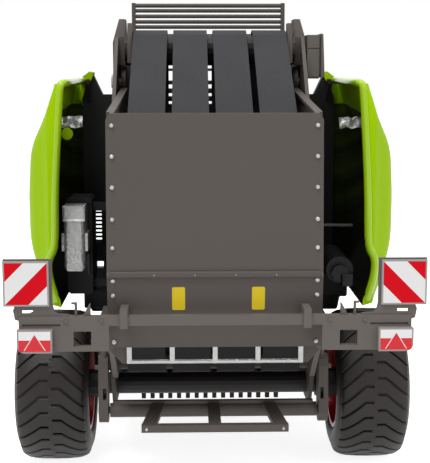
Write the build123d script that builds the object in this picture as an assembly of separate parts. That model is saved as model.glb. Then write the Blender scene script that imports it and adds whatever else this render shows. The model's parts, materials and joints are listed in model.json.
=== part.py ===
from build123d import *
import math
import os

# A 1:32 scale model of a round baler with a variable chamber, in millimetres.
# +Y is the way it is towed, +X its right-hand side and +Z up; the floor is Z = 0.
# Lengths along Y are counted from the wheel axle while the pieces are made, and
# save() then moves every piece so that Y = 0 is the middle of the whole length.

# Running clearances
SWING_GAP = 0.5          # between plates that swing past each other
RUN_GAP = 0.3            # beside a part that turns between two others
PIN_GAP = 0.05           # round a pin in its hole

# Sides of the thin bars and small pins that are round on a full-size machine
BAR_SIDES = 10
NUT_SIDES = 6
PIN_SIDES = 16          # pins and tubes that turn in each other

# Wheels and axle
TYRE_R = 16.0
TYRE_W = 15.3
TYRE_X = 33.15           # middle of the tyre
SHOULDER_W = 2.4
SHOULDER_DROP = 2.0
LUG_H = 0.75
LUG_W = 2.1
LUG_COUNT = 16           # lugs in each of the two rows
LUG_SLANT = 32           # degrees
TYRE_SIDES = 32          # flats round a tyre and its rim, one under each lug
BEAD_R = 9.9
RIM_INSET = 0.6          # the rim ends inside the bulge of the tyre
RIM_WALL = 0.8
RIM_DISC_X = 36.2        # inner face of the rim's disc
RIM_DISC_T = 1.0
RIM_DISH = 1.2
AXLE_PIN_R = 1.5
AXLE_R = 2.3
AXLE_HUB_R = 3.1
AXLE_HUB_X = 22.4
AXLE_Z = TYRE_R

# Side walls of the bale chamber
WALL_IN = 20.35          # inner face of the fixed wall
WALL_T = 0.8
WALL_OUT = WALL_IN + WALL_T
WALL_REAR_Y = -9.0
GATE_OUT = WALL_IN - SWING_GAP
GATE_T = 1.0
GATE_IN = GATE_OUT - GATE_T

# Tailgate, its hinge and its rear panel
HINGE_Y, HINGE_Z = 20.0, 80.6
HINGE_PIN_R = 0.9
HINGE_HEAD_R, HINGE_HEAD_T = 1.5, 0.6
EAR_R = 3.2
PANEL_Y = -33.0          # the crease, the rearmost line of the panel
PANEL_TOP_Y, PANEL_TOP_Z = -30.6, 75.3
CREASE_Z = 45.4
CREASE_RISE = 0.3
PANEL_LOW_Y, PANEL_LOW_Z = -31.6, 32.0
PANEL_T = 1.0
FLANGE_W, FLANGE_T = 1.5, 0.6

# Belts and the drums they run round
BELT_COUNT = 4
BELT_W = 7.45
BELT_PITCH = 8.8
BELT_T = 0.5
BELT_ARC_R = 10.9        # inside of the belts where they bend round the tailgate hinge
DRUM_R = 2.4
DRUM_GAP = 0.1
BEND_SIDES = 28          # flats of a whole turn in the bends of belts
# y, z of the three drums that the tailgate carries
GATE_DRUMS = [(-24.6, 62.6), (-27.4, 37.4), (-17.5, 26.4)]
UPPER_ROLLER_R = 3.0
# direction from the hinge, in degrees above +Y, of each fixed upper roller
UPPER_ROLLER_ANGLES = (108, 60)

# Posts beside the belts
POST_IN, POST_OUT = 18.9, 21.6
POST_TOP = 94.4
POST_BACK, POST_FRONT = 17.2, 27.0
POST_SLOPE = 5.2         # height of the slanted outer corner of the post
POST_FOOT = HINGE_Z + EAR_R + SWING_GAP

# Light bar across the tailgate
BAR_Y0, BAR_Y1 = -37.0, -35.6
BAR_Z0, BAR_Z1 = 37.4, 39.2
BAR_END_IN, BAR_END_OUT = 19.3, 35.5
BAR_END_LOW = 32.7
BAR_SADDLE_X, BAR_SADDLE_W = 16.6, 1.4
BOARD_SIZE_X, BOARD_SIZE_Z = 8.2, 8.2
BOARD_X, BOARD_Z = 34.0, 45.2
BOARD_T = 0.5
HOLDER_T = 0.5           # plate that holds the board
HOLDER_RIM = 0.3
LAMP_X0, LAMP_X1 = 29.4, 35.7
LAMP_Z0, LAMP_Z1 = 32.7, 37.0
LAMP_D = 1.2

# Side covers
COVER_REAR_Y, COVER_FRONT_Y = -6.0, 37.0
COVER_T = 0.9
COVER_TOP = 80.8
COVER_LAP_X = 30.4       # inner edge of the front flange that laps over the wing
COVER_NOTCH_Z = 75.2     # foot of the notch for the corner piece
COVER_HINGE_X, COVER_HINGE_Z = 29.7, 80.5
COVER_PIN_R = 0.4
KNUCKLE_R = 0.75
KNUCKLE_LEN = 3.0

# Front housing
HOOD_Y = 33.0
HOOD_D = 13.0
HOOD_HALF = 21.5
HOOD_TOP = 91.6
WING_D = 2.8
CORNER_T = 0.8           # the rounded corner piece over each wing

# Bale ramp
RAMP_Y, RAMP_Z = -16.0, 15.0
RAMP_TUBE_R = 1.45
RAMP_REAR_Y = -30.0
RAMP_FRAME_Z = RAMP_Z + 1.1
RAMP_BAR = 1.4
ARM_T = 1.9
ARM_OUT = WALL_OUT + ARM_T

# Crop rotor
ROTOR_Y, ROTOR_Z = 22.0, 13.2
ROTOR_R = 7.4
ROTOR_DRUM_R = 2.4
ROTOR_PIN_R = 1.2
ROTOR_STARS = 16
ROTOR_PITCH = 2.1

# Pick-up
PIVOT_Y, PIVOT_Z = 27.5, 18.0
PIVOT_PIN_R = 0.9
REEL_Y, REEL_Z = 42.0, 9.2
REEL_PIN_R = 0.8
TINE_R = 7.2
TINE_BAR_R = 3.4         # reel shaft to the middle of a tine bar
TINE_BARS = 4
TINE_PITCH = 3.8
STRIPPER_R = 5.2
STRIPPER_T = 0.6
PICKUP_HALF = 32.0
PLATE_T = 0.8
CROSS_TUBE_Y, CROSS_TUBE_Z, CROSS_TUBE_R = 34.5, 14.0, 1.1
GAUGE_R = 4.5
GAUGE_W = 3.4
GAUGE_X = 36.0
GAUGE_Y = 31.0
GAUGE_PIN_R = 0.7

# Drawbar, hitch and drive
DRAWBAR_Z = 24.0
DRAWBAR_H = 4.0
EYE_R_OUT, EYE_HOLE_R, EYE_T = 3.0, 1.25, 2.2
EYE_Y, EYE_Z = 105.0, 23.0
NOSE_LEN, NOSE_HALF = 8.0, 3.4
NOSE_FRONT = EYE_Y - 7.0
DECK_Y, DECK_LEN, DECK_T = 44.0, 12.0, 0.8
PTO_Z = 30.5
PTO_TIP_Y = EYE_Y - 9.0
PTO_GUARD_R = 1.7
PTO_BELL_R, PTO_BELL_LEN = 2.3, 5.0
PTO_SOCKET_R = 0.75
PTO_SOCKET_DEEP = 3.0

# Jack
JACK_X, JACK_Y = -7.0, 82.0
JACK_LEG_R = 1.3
JACK_SLEEVE_R = 1.9

# Reach of the whole model from the axle
REAR_REACH = LAMP_D - BAR_Y0
FRONT_REACH = EYE_Y + EYE_R_OUT
AXLE_TO_MIDDLE = (FRONT_REACH - REAR_REACH) / 2


def block(x0, x1, y0, y1, z0, z1):
    """A block between two corners."""
    return Pos((x0 + x1) / 2, (y0 + y1) / 2, (z0 + z1) / 2) * Box(x1 - x0, y1 - y0, z1 - z0)


def rod(start, end, radius, sides=0):
    """A bar between two points, round or with that many sides."""
    run = Vector(*end) - Vector(*start)
    outline = RegularPolygon(radius, sides) if sides else Circle(radius)
    return extrude(Plane(origin=start, z_dir=run) * outline, amount=run.length)


def cross_rod(y, z, radius, half, other=None, sides=0):
    """A bar across the machine, from -half to +half, or from half to other."""
    x0, x1 = (-half, half) if other is None else (half, other)
    return rod((x0, y, z), (x1, y, z), radius, sides)


def side_plate(points, x0, x1):
    """A plate with an outline of (y, z) points, between two places in X."""
    outline = make_face(Polyline([(x0, y, z) for y, z in points], close=True))
    return extrude(outline, amount=x1 - x0, dir=(1, 0, 0))


def cross_plate(points, y0, y1):
    """A plate with an outline of (x, z) points, between two places in Y."""
    outline = make_face(Polyline([(x, y0, z) for x, z in points], close=True))
    return extrude(outline, amount=y1 - y0, dir=(0, 1, 0))


def flat_plate(points, z0, z1):
    """A plate with an outline of (x, y) points, between two heights."""
    outline = make_face(Polyline([(x, y, z0) for x, y in points], close=True))
    return extrude(outline, amount=z1 - z0, dir=(0, 0, 1))


def lengthwise():
    """The upright plane along the machine: its x is +Y and its y is +Z."""
    return Plane(origin=(0, 0, 0), x_dir=(0, 1, 0), z_dir=(1, 0, 0))


def hull_plate(circles, x0, x1, sides):
    """A plate whose edge runs tightly round circles of (y, z, radius) with that many flats."""
    edges = [e for y, z, r in circles for e in (Pos(y, z) * RegularPolygon(r, sides)).edges()]
    return extrude(Pos(x0, 0, 0) * (lengthwise() * make_hull(edges)), amount=x1 - x0)


def ring(profile, y, z, sides):
    """A ring of flat faces about a cross shaft at y, z from a closed list of (x, radius)."""
    def corner(x, r, j):
        turn = 2 * math.pi * (j + 0.5) / sides
        return (x, y + r * math.cos(turn), z + r * math.sin(turn))

    faces = []
    for (xa, ra), (xb, rb) in zip(profile, profile[1:] + profile[:1]):
        for j in range(sides):
            four = [corner(xa, ra, j), corner(xb, rb, j), corner(xb, rb, j + 1), corner(xa, ra, j + 1)]
            faces.append(make_face(Polyline(four, close=True)))
    return Part() + Solid(Shell(faces))


def other_side(shape):
    return mirror(shape, about=Plane.YZ)


def on_both_sides(shape):
    return Part() + [shape, other_side(shape)]


def save(name, shape):
    """Writes one piece, moved so that Y = 0 is the middle of the machine's length."""
    export_step(Pos(0, -AXLE_TO_MIDDLE, 0) * shape, f"parts/{name}.step")


def save_pair(name, shape):
    """Writes a piece made on the right and its mirror image on the left."""
    save(f"{name}_right", shape)
    save(f"{name}_left", other_side(shape))


os.makedirs("parts", exist_ok=True)


# Wheels

def make_lug():
    """One slanted lug of the right-hand row, at the top of the tyre and at its middle."""
    half = TYRE_W / 2
    crown = TYRE_R - LUG_H
    flat_top = TYRE_R - 0.19
    middle = (half - SHOULDER_W) / 2
    # x from the middle of the tyre, radius
    profile = [(-0.4, crown - 0.5), (-0.4, flat_top), (half - SHOULDER_W, flat_top),
               (half - 0.5, crown - 1.4), (half - 0.5, crown - SHOULDER_DROP - 0.5)]
    lug = Pos(-middle, 0, 0) * cross_plate(profile, -LUG_W / 2, LUG_W / 2)
    return Pos(middle, 0, 0) * Rot(0, 0, -LUG_SLANT) * lug


def make_tyre():
    half = TYRE_W / 2
    crown = TYRE_R - LUG_H
    # x from the middle of the tyre, radius: bead, side wall, shoulder and crown
    half_section = [(half - 1.1, BEAD_R), (half, BEAD_R + 1.3), (half - 0.4, crown - SHOULDER_DROP),
                    (half - SHOULDER_W, crown)]
    section = half_section + [(-x, r) for x, r in reversed(half_section)]
    tyre = ring([(TYRE_X + x, r) for x, r in section], 0, AXLE_Z, TYRE_SIDES)
    right_lug = make_lug()
    left_lug = other_side(right_lug)
    step = 360 / LUG_COUNT
    to_tyre = Pos(TYRE_X, 0, AXLE_Z)
    lugs = [to_tyre * (Rot(i * step, 0, 0) * right_lug) for i in range(LUG_COUNT)]
    lugs += [to_tyre * (Rot((i + 0.5) * step, 0, 0) * left_lug) for i in range(LUG_COUNT)]
    return tyre + lugs


def make_rim():
    inner = TYRE_X - TYRE_W / 2 + RIM_INSET
    outer = TYRE_X + TYRE_W / 2 - RIM_INSET
    seat = BEAD_R - 0.02
    barrel = seat - RIM_WALL
    disc_out = RIM_DISC_X + RIM_DISC_T
    # x, radius: disc dished towards the barrel
    profile = [
        (RIM_DISC_X, AXLE_PIN_R + PIN_GAP), (disc_out, AXLE_PIN_R + PIN_GAP),
        (disc_out + RIM_DISH, barrel), (outer, barrel), (outer, seat), (inner, seat), (inner, barrel),
        (RIM_DISC_X + RIM_DISH, barrel),
    ]
    return ring(profile, 0, AXLE_Z, TYRE_SIDES)


def make_axle():
    hub_end = RIM_DISC_X - RUN_GAP
    nut = RIM_DISC_X + RIM_DISC_T + RUN_GAP
    tube = cross_rod(0, AXLE_Z, AXLE_R, AXLE_HUB_X, sides=PIN_SIDES)
    hub = cross_rod(0, AXLE_Z, AXLE_HUB_R, AXLE_HUB_X, hub_end, sides=12)
    pin = cross_rod(0, AXLE_Z, AXLE_PIN_R, hub_end, nut, sides=PIN_SIDES)
    return tube + on_both_sides(hub + pin + cross_rod(0, AXLE_Z, 2.2, nut, nut + 1.0, sides=NUT_SIDES))


save_pair("tyre", make_tyre())
save_pair("rim", make_rim())
save("axle", make_axle())


# Fixed side walls with their posts

POST_OUTLINE = [
    (POST_BACK, POST_TOP - 4), (POST_BACK + 1.5, POST_TOP), (POST_FRONT - 2.5, POST_TOP),
    (POST_FRONT, POST_TOP - 3),
]
WALL_OUTLINE = [
    (WALL_REAR_Y, 19.5), (WALL_REAR_Y, 58.0), (6.0, 78.0), *POST_OUTLINE, (HOOD_Y, 86.0),
    (HOOD_Y, 20.0), (30.0, 13.0), (24.0, 9.2), (18.0, 9.2), (12.0, 12.5), (-4.5, 12.5),
]


def make_side_wall():
    wall = side_plate(WALL_OUTLINE, WALL_IN, WALL_OUT)
    inner = side_plate([(POST_BACK, POST_FOOT), *POST_OUTLINE, (POST_FRONT, POST_FOOT)],
                       POST_IN, WALL_IN)
    outer = side_plate([(POST_BACK, HINGE_Z - 1.6), *POST_OUTLINE, (POST_FRONT, HINGE_Z - 1.6)],
                       WALL_OUT, POST_OUT)
    slope_in = POST_IN + (POST_OUT - POST_IN) / 2
    corner = cross_plate([(slope_in, POST_TOP), (POST_OUT, POST_TOP - POST_SLOPE),
                          (POST_OUT + 1, POST_TOP - POST_SLOPE), (POST_OUT + 1, POST_TOP + 1),
                          (slope_in, POST_TOP + 1)], WALL_REAR_Y, HOOD_Y)
    wall = wall + inner + outer - corner
    # y, z, radius and number of sides
    holes = [(0, AXLE_Z, AXLE_R + 0.02, PIN_SIDES), (HINGE_Y, HINGE_Z, HINGE_PIN_R, 0),
             (ROTOR_Y, ROTOR_Z, ROTOR_PIN_R + 0.2, 12)]
    for y, z, r, sides in holes:
        wall -= cross_rod(y, z, r, POST_IN - 1, POST_OUT + 1, sides=sides)
    return wall


def make_hinge_pin():
    pin = cross_rod(HINGE_Y, HINGE_Z, HINGE_PIN_R, GATE_IN, POST_OUT, sides=16)
    head = cross_rod(HINGE_Y, HINGE_Z, HINGE_HEAD_R, POST_OUT, POST_OUT + HINGE_HEAD_T, sides=NUT_SIDES)
    return pin + head


save_pair("side_wall", make_side_wall())
save("hinge_pins", on_both_sides(make_hinge_pin()))


def make_upper_rollers():
    reach = BELT_ARC_R - RUN_GAP - UPPER_ROLLER_R
    rollers = []
    for angle in UPPER_ROLLER_ANGLES:
        y = HINGE_Y + reach * math.cos(math.radians(angle))
        z = HINGE_Z + reach * math.sin(math.radians(angle))
        rollers.append(cross_rod(y, z, UPPER_ROLLER_R, POST_IN, sides=16))
    return Part() + rollers


save("upper_rollers", make_upper_rollers())

# y, z, radius of the fixed rollers of the bale chamber
CHAMBER_ROLLERS = [(-5.0, 23.4, 2.6), (17.0, 27.0, 3.0), (26.0, 35.0, 3.0), (29.0, 45.0, 3.0)]
save("chamber_rollers", Part() + [cross_rod(y, z, r, WALL_IN, sides=16)
                                  for y, z, r in CHAMBER_ROLLERS])


# Front housing, its corner pieces and the guard rail on it

# x, z of a wing's edge from the middle block up over the peak and down to its foot
WING_OUTLINE = [
    (HOOD_HALF, 77.4), (25.3, 77.4), (27.4, 81.9), (28.3, 82.0), (29.5, 81.0), (30.0, 79.0),
    (30.2, 72.0), (30.2, 33.5), (27.0, 29.5), (25.5, 26.5), (HOOD_HALF, 26.5),
]
# height of the middle and height of each see-through slot of the middle block
HOOD_SLOTS = [(83.9, 0.7), (81.75, 2.3), (79.2, 1.05), (77.2, 0.9), (75.3, 0.9)]
HOOD_SLOT_X = (-13.0, 2.0)
# x0, x1, z0, z1 of the openings in the left wing
WING_SLOTS = [(-28.5, -26.0, 41.8, 49.4), (-27.4, -25.7, 35.3, 37.0), (-26.6, -25.6, 30.6, 32.1)]


def make_front_housing():
    front = HOOD_Y + HOOD_D
    side = [(HOOD_Y, 28.0), (HOOD_Y, HOOD_TOP), (HOOD_Y + 3, HOOD_TOP), (front - 4, HOOD_TOP - 5.6),
            (front, HOOD_TOP - 19.6), (front, 46.0), (front - 8, 28.0)]
    middle = side_plate(side, -HOOD_HALF, HOOD_HALF)
    for z, height in HOOD_SLOTS:
        middle -= block(*HOOD_SLOT_X, HOOD_Y - 1, front + 1, z - height / 2, z + height / 2)
    wing = cross_plate(WING_OUTLINE, HOOD_Y, HOOD_Y + WING_D)
    front_edge = wing.edges().filter_by(GeomType.LINE).group_by(Axis.Y)[-1].group_by(Axis.X)[-1]
    wing = chamfer(front_edge, 1.5)
    left = other_side(wing)
    for x0, x1, z0, z1 in WING_SLOTS:
        left -= block(x0, x1, HOOD_Y - 1, HOOD_Y + WING_D + 1, z0, z1)
    return middle + wing + left


def make_corner_piece():
    """The bright rounded piece over the top corner of a wing, closed at its rear end."""
    # x, z over the wing and over the piece itself
    over_wing = [(30.2, 76.0), (30.0, 79.0), (29.5, 81.0), (28.3, 82.0), (27.4, 81.9)]
    outside = [(27.3, 82.6), (28.3, 82.8), (30.1, 81.5), (30.8, 79.0), (31.0, 76.0)]
    shell = cross_plate(over_wing + outside, HOOD_Y, HOOD_Y + WING_D)
    end = [(30.2, 76.0), (29.2, 79.3), (27.8, 81.0), *outside]
    return shell + cross_plate(end, HOOD_Y - CORNER_T, HOOD_Y)


def make_guard_rail():
    rail_y, post_x0, post_x1 = 35.0, 17.3, 18.2
    # height and radius of each cross bar
    bars = [(98.3, 0.5), (97.1, 0.46), (95.8, 0.46), (94.5, 0.46), (93.3, 0.46)]
    rail = Part() + [cross_rod(rail_y, z, r, post_x0, sides=BAR_SIDES) for z, r in bars]
    return rail + on_both_sides(block(post_x0, post_x1, rail_y - 0.6, rail_y + 0.8, HOOD_TOP, 98.9))


save("front_housing", make_front_housing())
save_pair("corner_piece", make_corner_piece())
save("guard_rail", make_guard_rail())


# Boxes and fittings between the walls and the side covers

def make_control_box():
    shell = block(-31.2, -25.7, 4.0, 14.0, 34.9, 55.8)
    shell = chamfer(shell.edges().filter_by(Axis.Y), 0.6)
    ledge = block(-31.2, -25.7, 3.5, 4.0, 54.9, 55.8)
    arms = [block(-25.7, -WALL_OUT, 6.0, 8.0, z, z + 1.6) for z in (36.2, 53.0)]
    return shell + ledge + arms


def make_tank():
    x0, x1, y0, y1 = -31.2, -26.7, -2.0, 4.0
    body = block(x0, x1, y0, y1, 41.0, 54.8)
    low = body.edges().group_by(Axis.Z)[0].filter_by(Axis.Y)
    body = chamfer(low, 0.7)
    upright = body.edges().filter_by(Axis.Z).group_by(Axis.Y)[0]
    body = fillet(upright, 0.9)
    band = block(x0 - 0.5, x1 + 0.5, y0 + 0.6, y1, 45.2, 49.0)
    window = block(x0 + 0.7, x1 - 0.7, y0 - 1, y0 + 0.6, 52.2, 54.2)
    return body + band - window


def make_canister():
    can = rod((27.2, -2.0, 41.0), (27.2, 14.0, 41.0), 2.9, sides=PIN_SIDES)
    cap = rod((27.2, -3.0, 40.4), (27.2, -2.0, 40.4), 1.9, sides=8)
    return can + cap + block(WALL_OUT, 25.6, 4.0, 7.0, 40.0, 42.0)


def make_top_box():
    y0, y1, z0, z1 = 15.0, 24.0, 81.6, 90.8
    body = block(POST_OUT, 24.3, y0, y1, z0, z1)
    body -= block(POST_OUT, 24.3, y0 - 1, y0 + 0.3, 87.7, 87.95)
    neck = block(24.3, 24.7, y0 + 0.5, y1 - 0.5, z0 + 0.5, z1 - 0.5)
    flange = cross_plate([(24.7, z0 - 0.2), (25.5, z0), (25.1, z1 + 0.1), (24.7, z1 + 0.3)],
                         y0 - 0.4, y1 + 0.4)
    low = block(POST_OUT, 24.3, y0 + 0.4, y1, z0 - 0.4, z0)
    room = cross_rod(HINGE_Y, HINGE_Z, HINGE_HEAD_R + RUN_GAP, POST_OUT, POST_OUT + HINGE_HEAD_T + RUN_GAP,
                     sides=NUT_SIDES)
    return body + neck + flange + low - room


def make_cover_bracket():
    """The hinge rod of a side cover with the block that holds it on the wing."""
    y1 = HOOD_Y - CORNER_T - 0.2
    hold = [(y1 - 3, COVER_HINGE_Z - 0.7), (y1 - 3, COVER_HINGE_Z + 0.5), (y1, COVER_HINGE_Z + 0.5),
            (y1, COVER_HINGE_Z - 2.0), (HOOD_Y, COVER_HINGE_Z - 2.0), (HOOD_Y, COVER_HINGE_Z - 5.0)]
    hold = side_plate(hold, COVER_HINGE_X - 1.5, COVER_HINGE_X - 0.6)
    rod_end = COVER_REAR_Y + 1.5
    hinge = rod((COVER_HINGE_X, rod_end, COVER_HINGE_Z), (COVER_HINGE_X, y1, COVER_HINGE_Z), COVER_PIN_R,
                sides=BAR_SIDES)
    collar = rod((COVER_HINGE_X, y1 - 2, COVER_HINGE_Z), (COVER_HINGE_X, y1, COVER_HINGE_Z), KNUCKLE_R,
                 sides=BAR_SIDES)
    return hold + hinge + collar


save_pair("cover_brackets", make_cover_bracket())
save("control_box", make_control_box())
save("tank", make_tank())
save("canister", make_canister())
save("top_box", make_top_box())


# Chain drives on the left wall

# y, z, pitch radius and number of teeth of each sprocket
SPROCKETS = [(ROTOR_Y, ROTOR_Z, 4.0, 14), (17.0, 27.0, 2.7, 11), (29.0, 45.0, 2.7, 11)]
SPROCKET_T = 0.7
TOOTH_OUT, TOOTH_IN = 0.35, 0.4
CHAIN_W, CHAIN_H = 1.1, 0.8


def make_sprocket(y, z, pitch_r, teeth):
    """A plate with pointed teeth on a hub against the left wall."""
    outline = []
    for i in range(2 * teeth):
        r = pitch_r + (TOOTH_OUT if i % 2 else -TOOTH_IN)
        turn = math.pi * i / teeth
        outline.append((y + r * math.cos(turn), z + r * math.sin(turn)))
    x = -WALL_OUT - 1.6
    wheel = side_plate(outline, x, x + SPROCKET_T)
    return wheel + cross_rod(y, z, 1.5, -WALL_OUT, x - 0.5, sides=NUT_SIDES)


def make_chain():
    path = [(y, z, r) for y, z, r, teeth in SPROCKETS[1:]]
    x = -WALL_OUT - 1.6 + SPROCKET_T / 2
    inside = TOOTH_OUT + 0.1
    outer = [(y, z, r + inside + CHAIN_H) for y, z, r in path]
    outer = hull_plate(outer, x - CHAIN_W / 2, x + CHAIN_W / 2, PIN_SIDES)
    inner = hull_plate([(y, z, r + inside) for y, z, r in path], x - CHAIN_W, x + CHAIN_W, PIN_SIDES)
    return outer - inner


save("sprockets", Part() + [make_sprocket(*row) for row in SPROCKETS])
save("drive_chain", make_chain())


# Tailgate

def make_tailgate_shell():
    ear_y, ear_z = HINGE_Y - EAR_R + 0.3, HINGE_Z - 1.4
    wall = [(PANEL_TOP_Y, PANEL_TOP_Z), (ear_y, ear_z), (HINGE_Y, HINGE_Z - EAR_R + 0.6),
            (-2.0, 32.0), (-14.0, 23.2), (-21.0, 23.2), (PANEL_LOW_Y, PANEL_LOW_Z), (PANEL_Y, CREASE_Z)]
    side = side_plate(wall, GATE_IN, GATE_OUT)
    side += cross_rod(HINGE_Y, HINGE_Z, EAR_R, GATE_IN, GATE_OUT, sides=20)
    top = [(PANEL_TOP_Y, PANEL_TOP_Z), (ear_y, ear_z), (ear_y, ear_z - FLANGE_T),
           (PANEL_TOP_Y, PANEL_TOP_Z - FLANGE_T)]
    side += side_plate(top, GATE_OUT - FLANGE_W, GATE_OUT)
    side -= cross_rod(HINGE_Y, HINGE_Z, HINGE_PIN_R + PIN_GAP, GATE_IN - 1, GATE_OUT + 1)
    # y, z down the outside of the panel with its crease, then up the inside
    panel = [(PANEL_TOP_Y, PANEL_TOP_Z), (PANEL_Y, CREASE_Z + 1.0), (PANEL_Y - CREASE_RISE, CREASE_Z + 0.5),
             (PANEL_Y - CREASE_RISE, CREASE_Z), (PANEL_Y, CREASE_Z - 0.2), (PANEL_LOW_Y, PANEL_LOW_Z),
             (PANEL_LOW_Y + PANEL_T, PANEL_LOW_Z), (PANEL_Y + PANEL_T, CREASE_Z),
             (PANEL_TOP_Y + PANEL_T, PANEL_TOP_Z)]
    panel = side_plate(panel, -GATE_OUT, GATE_OUT)
    # x, z of the cut top corner and of the gusset below the panel
    corner = [(GATE_OUT - 0.7, PANEL_TOP_Z + 1), (GATE_OUT - 0.7, PANEL_TOP_Z),
              (GATE_OUT, PANEL_TOP_Z - 1.2), (GATE_OUT + 1, PANEL_TOP_Z + 1)]
    gusset = [(16.2, PANEL_LOW_Z + 0.5), (GATE_OUT, PANEL_LOW_Z + 0.5), (GATE_OUT, PANEL_LOW_Z - 0.3),
              (17.4, 28.8), (16.2, 28.8)]
    gusset = cross_plate(gusset, PANEL_LOW_Y + PANEL_T - 0.4, PANEL_LOW_Y + PANEL_T + 0.3)
    shell = on_both_sides(side + gusset) + panel
    return shell - on_both_sides(cross_plate(corner, PANEL_Y, PANEL_TOP_Y + PANEL_T + 1))


def make_gate_drums():
    return Part() + [cross_rod(y, z, DRUM_R, GATE_IN, sides=16) for y, z in GATE_DRUMS]


def make_belts():
    inside = [(HINGE_Y, HINGE_Z, BELT_ARC_R)] + [(y, z, DRUM_R + DRUM_GAP) for y, z in GATE_DRUMS]
    outside = [(y, z, r + BELT_T) for y, z, r in inside]
    first = -BELT_PITCH * (BELT_COUNT - 1) / 2
    belt = hull_plate(outside, -BELT_W / 2, BELT_W / 2, BEND_SIDES)
    belt -= hull_plate(inside, -BELT_W, BELT_W, BEND_SIDES)
    return Part() + [Pos(first + i * BELT_PITCH, 0, 0) * belt for i in range(BELT_COUNT)]


def make_light_bar():
    bar = block(-BAR_END_IN, BAR_END_IN, BAR_Y0, BAR_Y1, BAR_Z0, BAR_Z1)
    end = block(BAR_END_IN, BAR_END_OUT, BAR_Y0, BAR_Y1, BAR_END_LOW, BAR_Z1)
    window = block(22.5, 25.7, BAR_Y0 - 1, BAR_Y1 + 1, 33.6, 36.4)
    end -= window
    end -= block(28.0, BAR_END_OUT - 0.6, BAR_Y0 - 1, BAR_Y0 + 0.4, 37.4, 37.8)
    saddle_x0, saddle_x1 = BAR_SADDLE_X - BAR_SADDLE_W / 2, BAR_SADDLE_X + BAR_SADDLE_W / 2
    rear = BAR_Y0 - 0.4
    saddle = block(saddle_x0, saddle_x1, rear, BAR_Y0, BAR_Z0 - 0.5, BAR_Z1 + 1.2)
    saddle += block(saddle_x0, saddle_x1, rear, PANEL_Y + PANEL_T / 2, BAR_Z1, BAR_Z1 + 1.2)
    saddle += block(saddle_x0, saddle_x1, BAR_Y1, PANEL_Y + PANEL_T / 2, BAR_Z0, BAR_Z1)
    saddle -= side_plate([(PANEL_Y, CREASE_Z - 0.2), (PANEL_LOW_Y, PANEL_LOW_Z), (-20, PANEL_LOW_Z),
                          (-20, CREASE_Z)], saddle_x0 - 1, saddle_x1 + 1)
    return bar + on_both_sides(end + saddle + make_holder())


def make_holder():
    """The plate above the bar's end that carries the striped board, with its slotted ear."""
    in_x = BOARD_X - BOARD_SIZE_X / 2 - HOLDER_RIM - 0.2
    out_x = BOARD_X + BOARD_SIZE_X / 2
    low = BOARD_Z - BOARD_SIZE_Z / 2
    top = BOARD_Z + BOARD_SIZE_Z / 2 + HOLDER_RIM
    outline = [(26.4, BAR_Z1), (26.4, BAR_Z1 + 0.3), (28.4, BAR_Z1 + 0.4), (29.1, BAR_Z1 + 0.9),
               (in_x, BAR_Z1 + 2.2), (in_x, top), (out_x, top), (out_x, low), (36.2, low - 0.1),
               (36.5, low - 0.8), (36.2, BAR_Z1 - 0.6), (35.7, BAR_Z1 - 0.8), (34.0, BAR_Z1 - 0.8)]
    plate = cross_plate(outline, BAR_Y1 - 0.6 - HOLDER_T, BAR_Y1 - 0.6)
    return plate - block(32.9, 34.9, BAR_Y0, BAR_Y1, BAR_Z1 + 0.5, BAR_Z1 + 1.1)


def make_board():
    half_x, half_z = BOARD_SIZE_X / 2, BOARD_SIZE_Z / 2
    back = BAR_Y1 - 0.6 - HOLDER_T
    return block(BOARD_X - half_x, BOARD_X + half_x, back - BOARD_T, back,
                 BOARD_Z - half_z, BOARD_Z + half_z)


def make_lamp():
    lamp = block(LAMP_X0, LAMP_X1, BAR_Y0 - LAMP_D, BAR_Y0, LAMP_Z0, LAMP_Z1)
    corner = lamp.edges().filter_by(Axis.Y).sort_by(Axis.X)[-2:].sort_by(Axis.Z)[0]
    return fillet(corner, 1.4)


def make_guide_grid():
    bar_z, bar_r, half = 29.2, 0.4, 16.0
    grid = cross_rod(PANEL_LOW_Y + 0.3, bar_z, bar_r, half, sides=6)
    step = 2 * half / 4
    posts = [block(x - 0.45, x + 0.45, PANEL_LOW_Y, PANEL_LOW_Y + 0.6, bar_z - 0.3, PANEL_LOW_Z)
             for x in (-half + i * step for i in range(5))]
    return grid + posts


save("tailgate_shell", make_tailgate_shell())
save("tailgate_drums", make_gate_drums())
save("belts", make_belts())
save("light_bar", make_light_bar())
save_pair("warning_board", make_board())
save_pair("tail_lamp", make_lamp())
save("guide_grid", make_guide_grid())


# Side covers

# x, z of the cover's outside seen from behind, with the radius of each corner
COVER_SECTION = [
    (0, 34.0, 0), (34.0, 34.0, 2.0), (38.5, 46.8, 5.0), (37.6, 66.8, 3.0), (34.3, 73.9, 6.0),
    (32.6, COVER_TOP, 0), (0, COVER_TOP, 0),
]
# x, y of its outside seen from above, with the radius of each corner
COVER_PLAN = [
    (0, COVER_REAR_Y, 0), (33.0, COVER_REAR_Y, 1.2), (39.0, 2.0, 7.0), (38.6, 27.0, 9.0),
    (33.0, COVER_FRONT_Y, 0), (0, COVER_FRONT_Y, 0),
]
# x, z of the inner edge of the rim that is turned in at its rear end
COVER_RIM = [
    (30.4, COVER_TOP + 1), (30.4, 79.0), (31.0, 70.0), (31.8, 57.0), (31.9, 47.0), (33.6, 44.0),
    (33.4, 41.0), (32.7, 38.0), (31.6, 35.4), (31.6, 33.0),
]


def rounded_outline(rows):
    """A closed outline of (a, b, radius) corners, each rounded by its own radius."""
    outline = make_face(Polyline([(a, b) for a, b, r in rows], close=True))
    for a, b, r in rows:
        if r > 0:
            corner = outline.vertices().sort_by_distance((a, b, 0))[0]
            outline = fillet(corner, r)
    return outline


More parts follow.
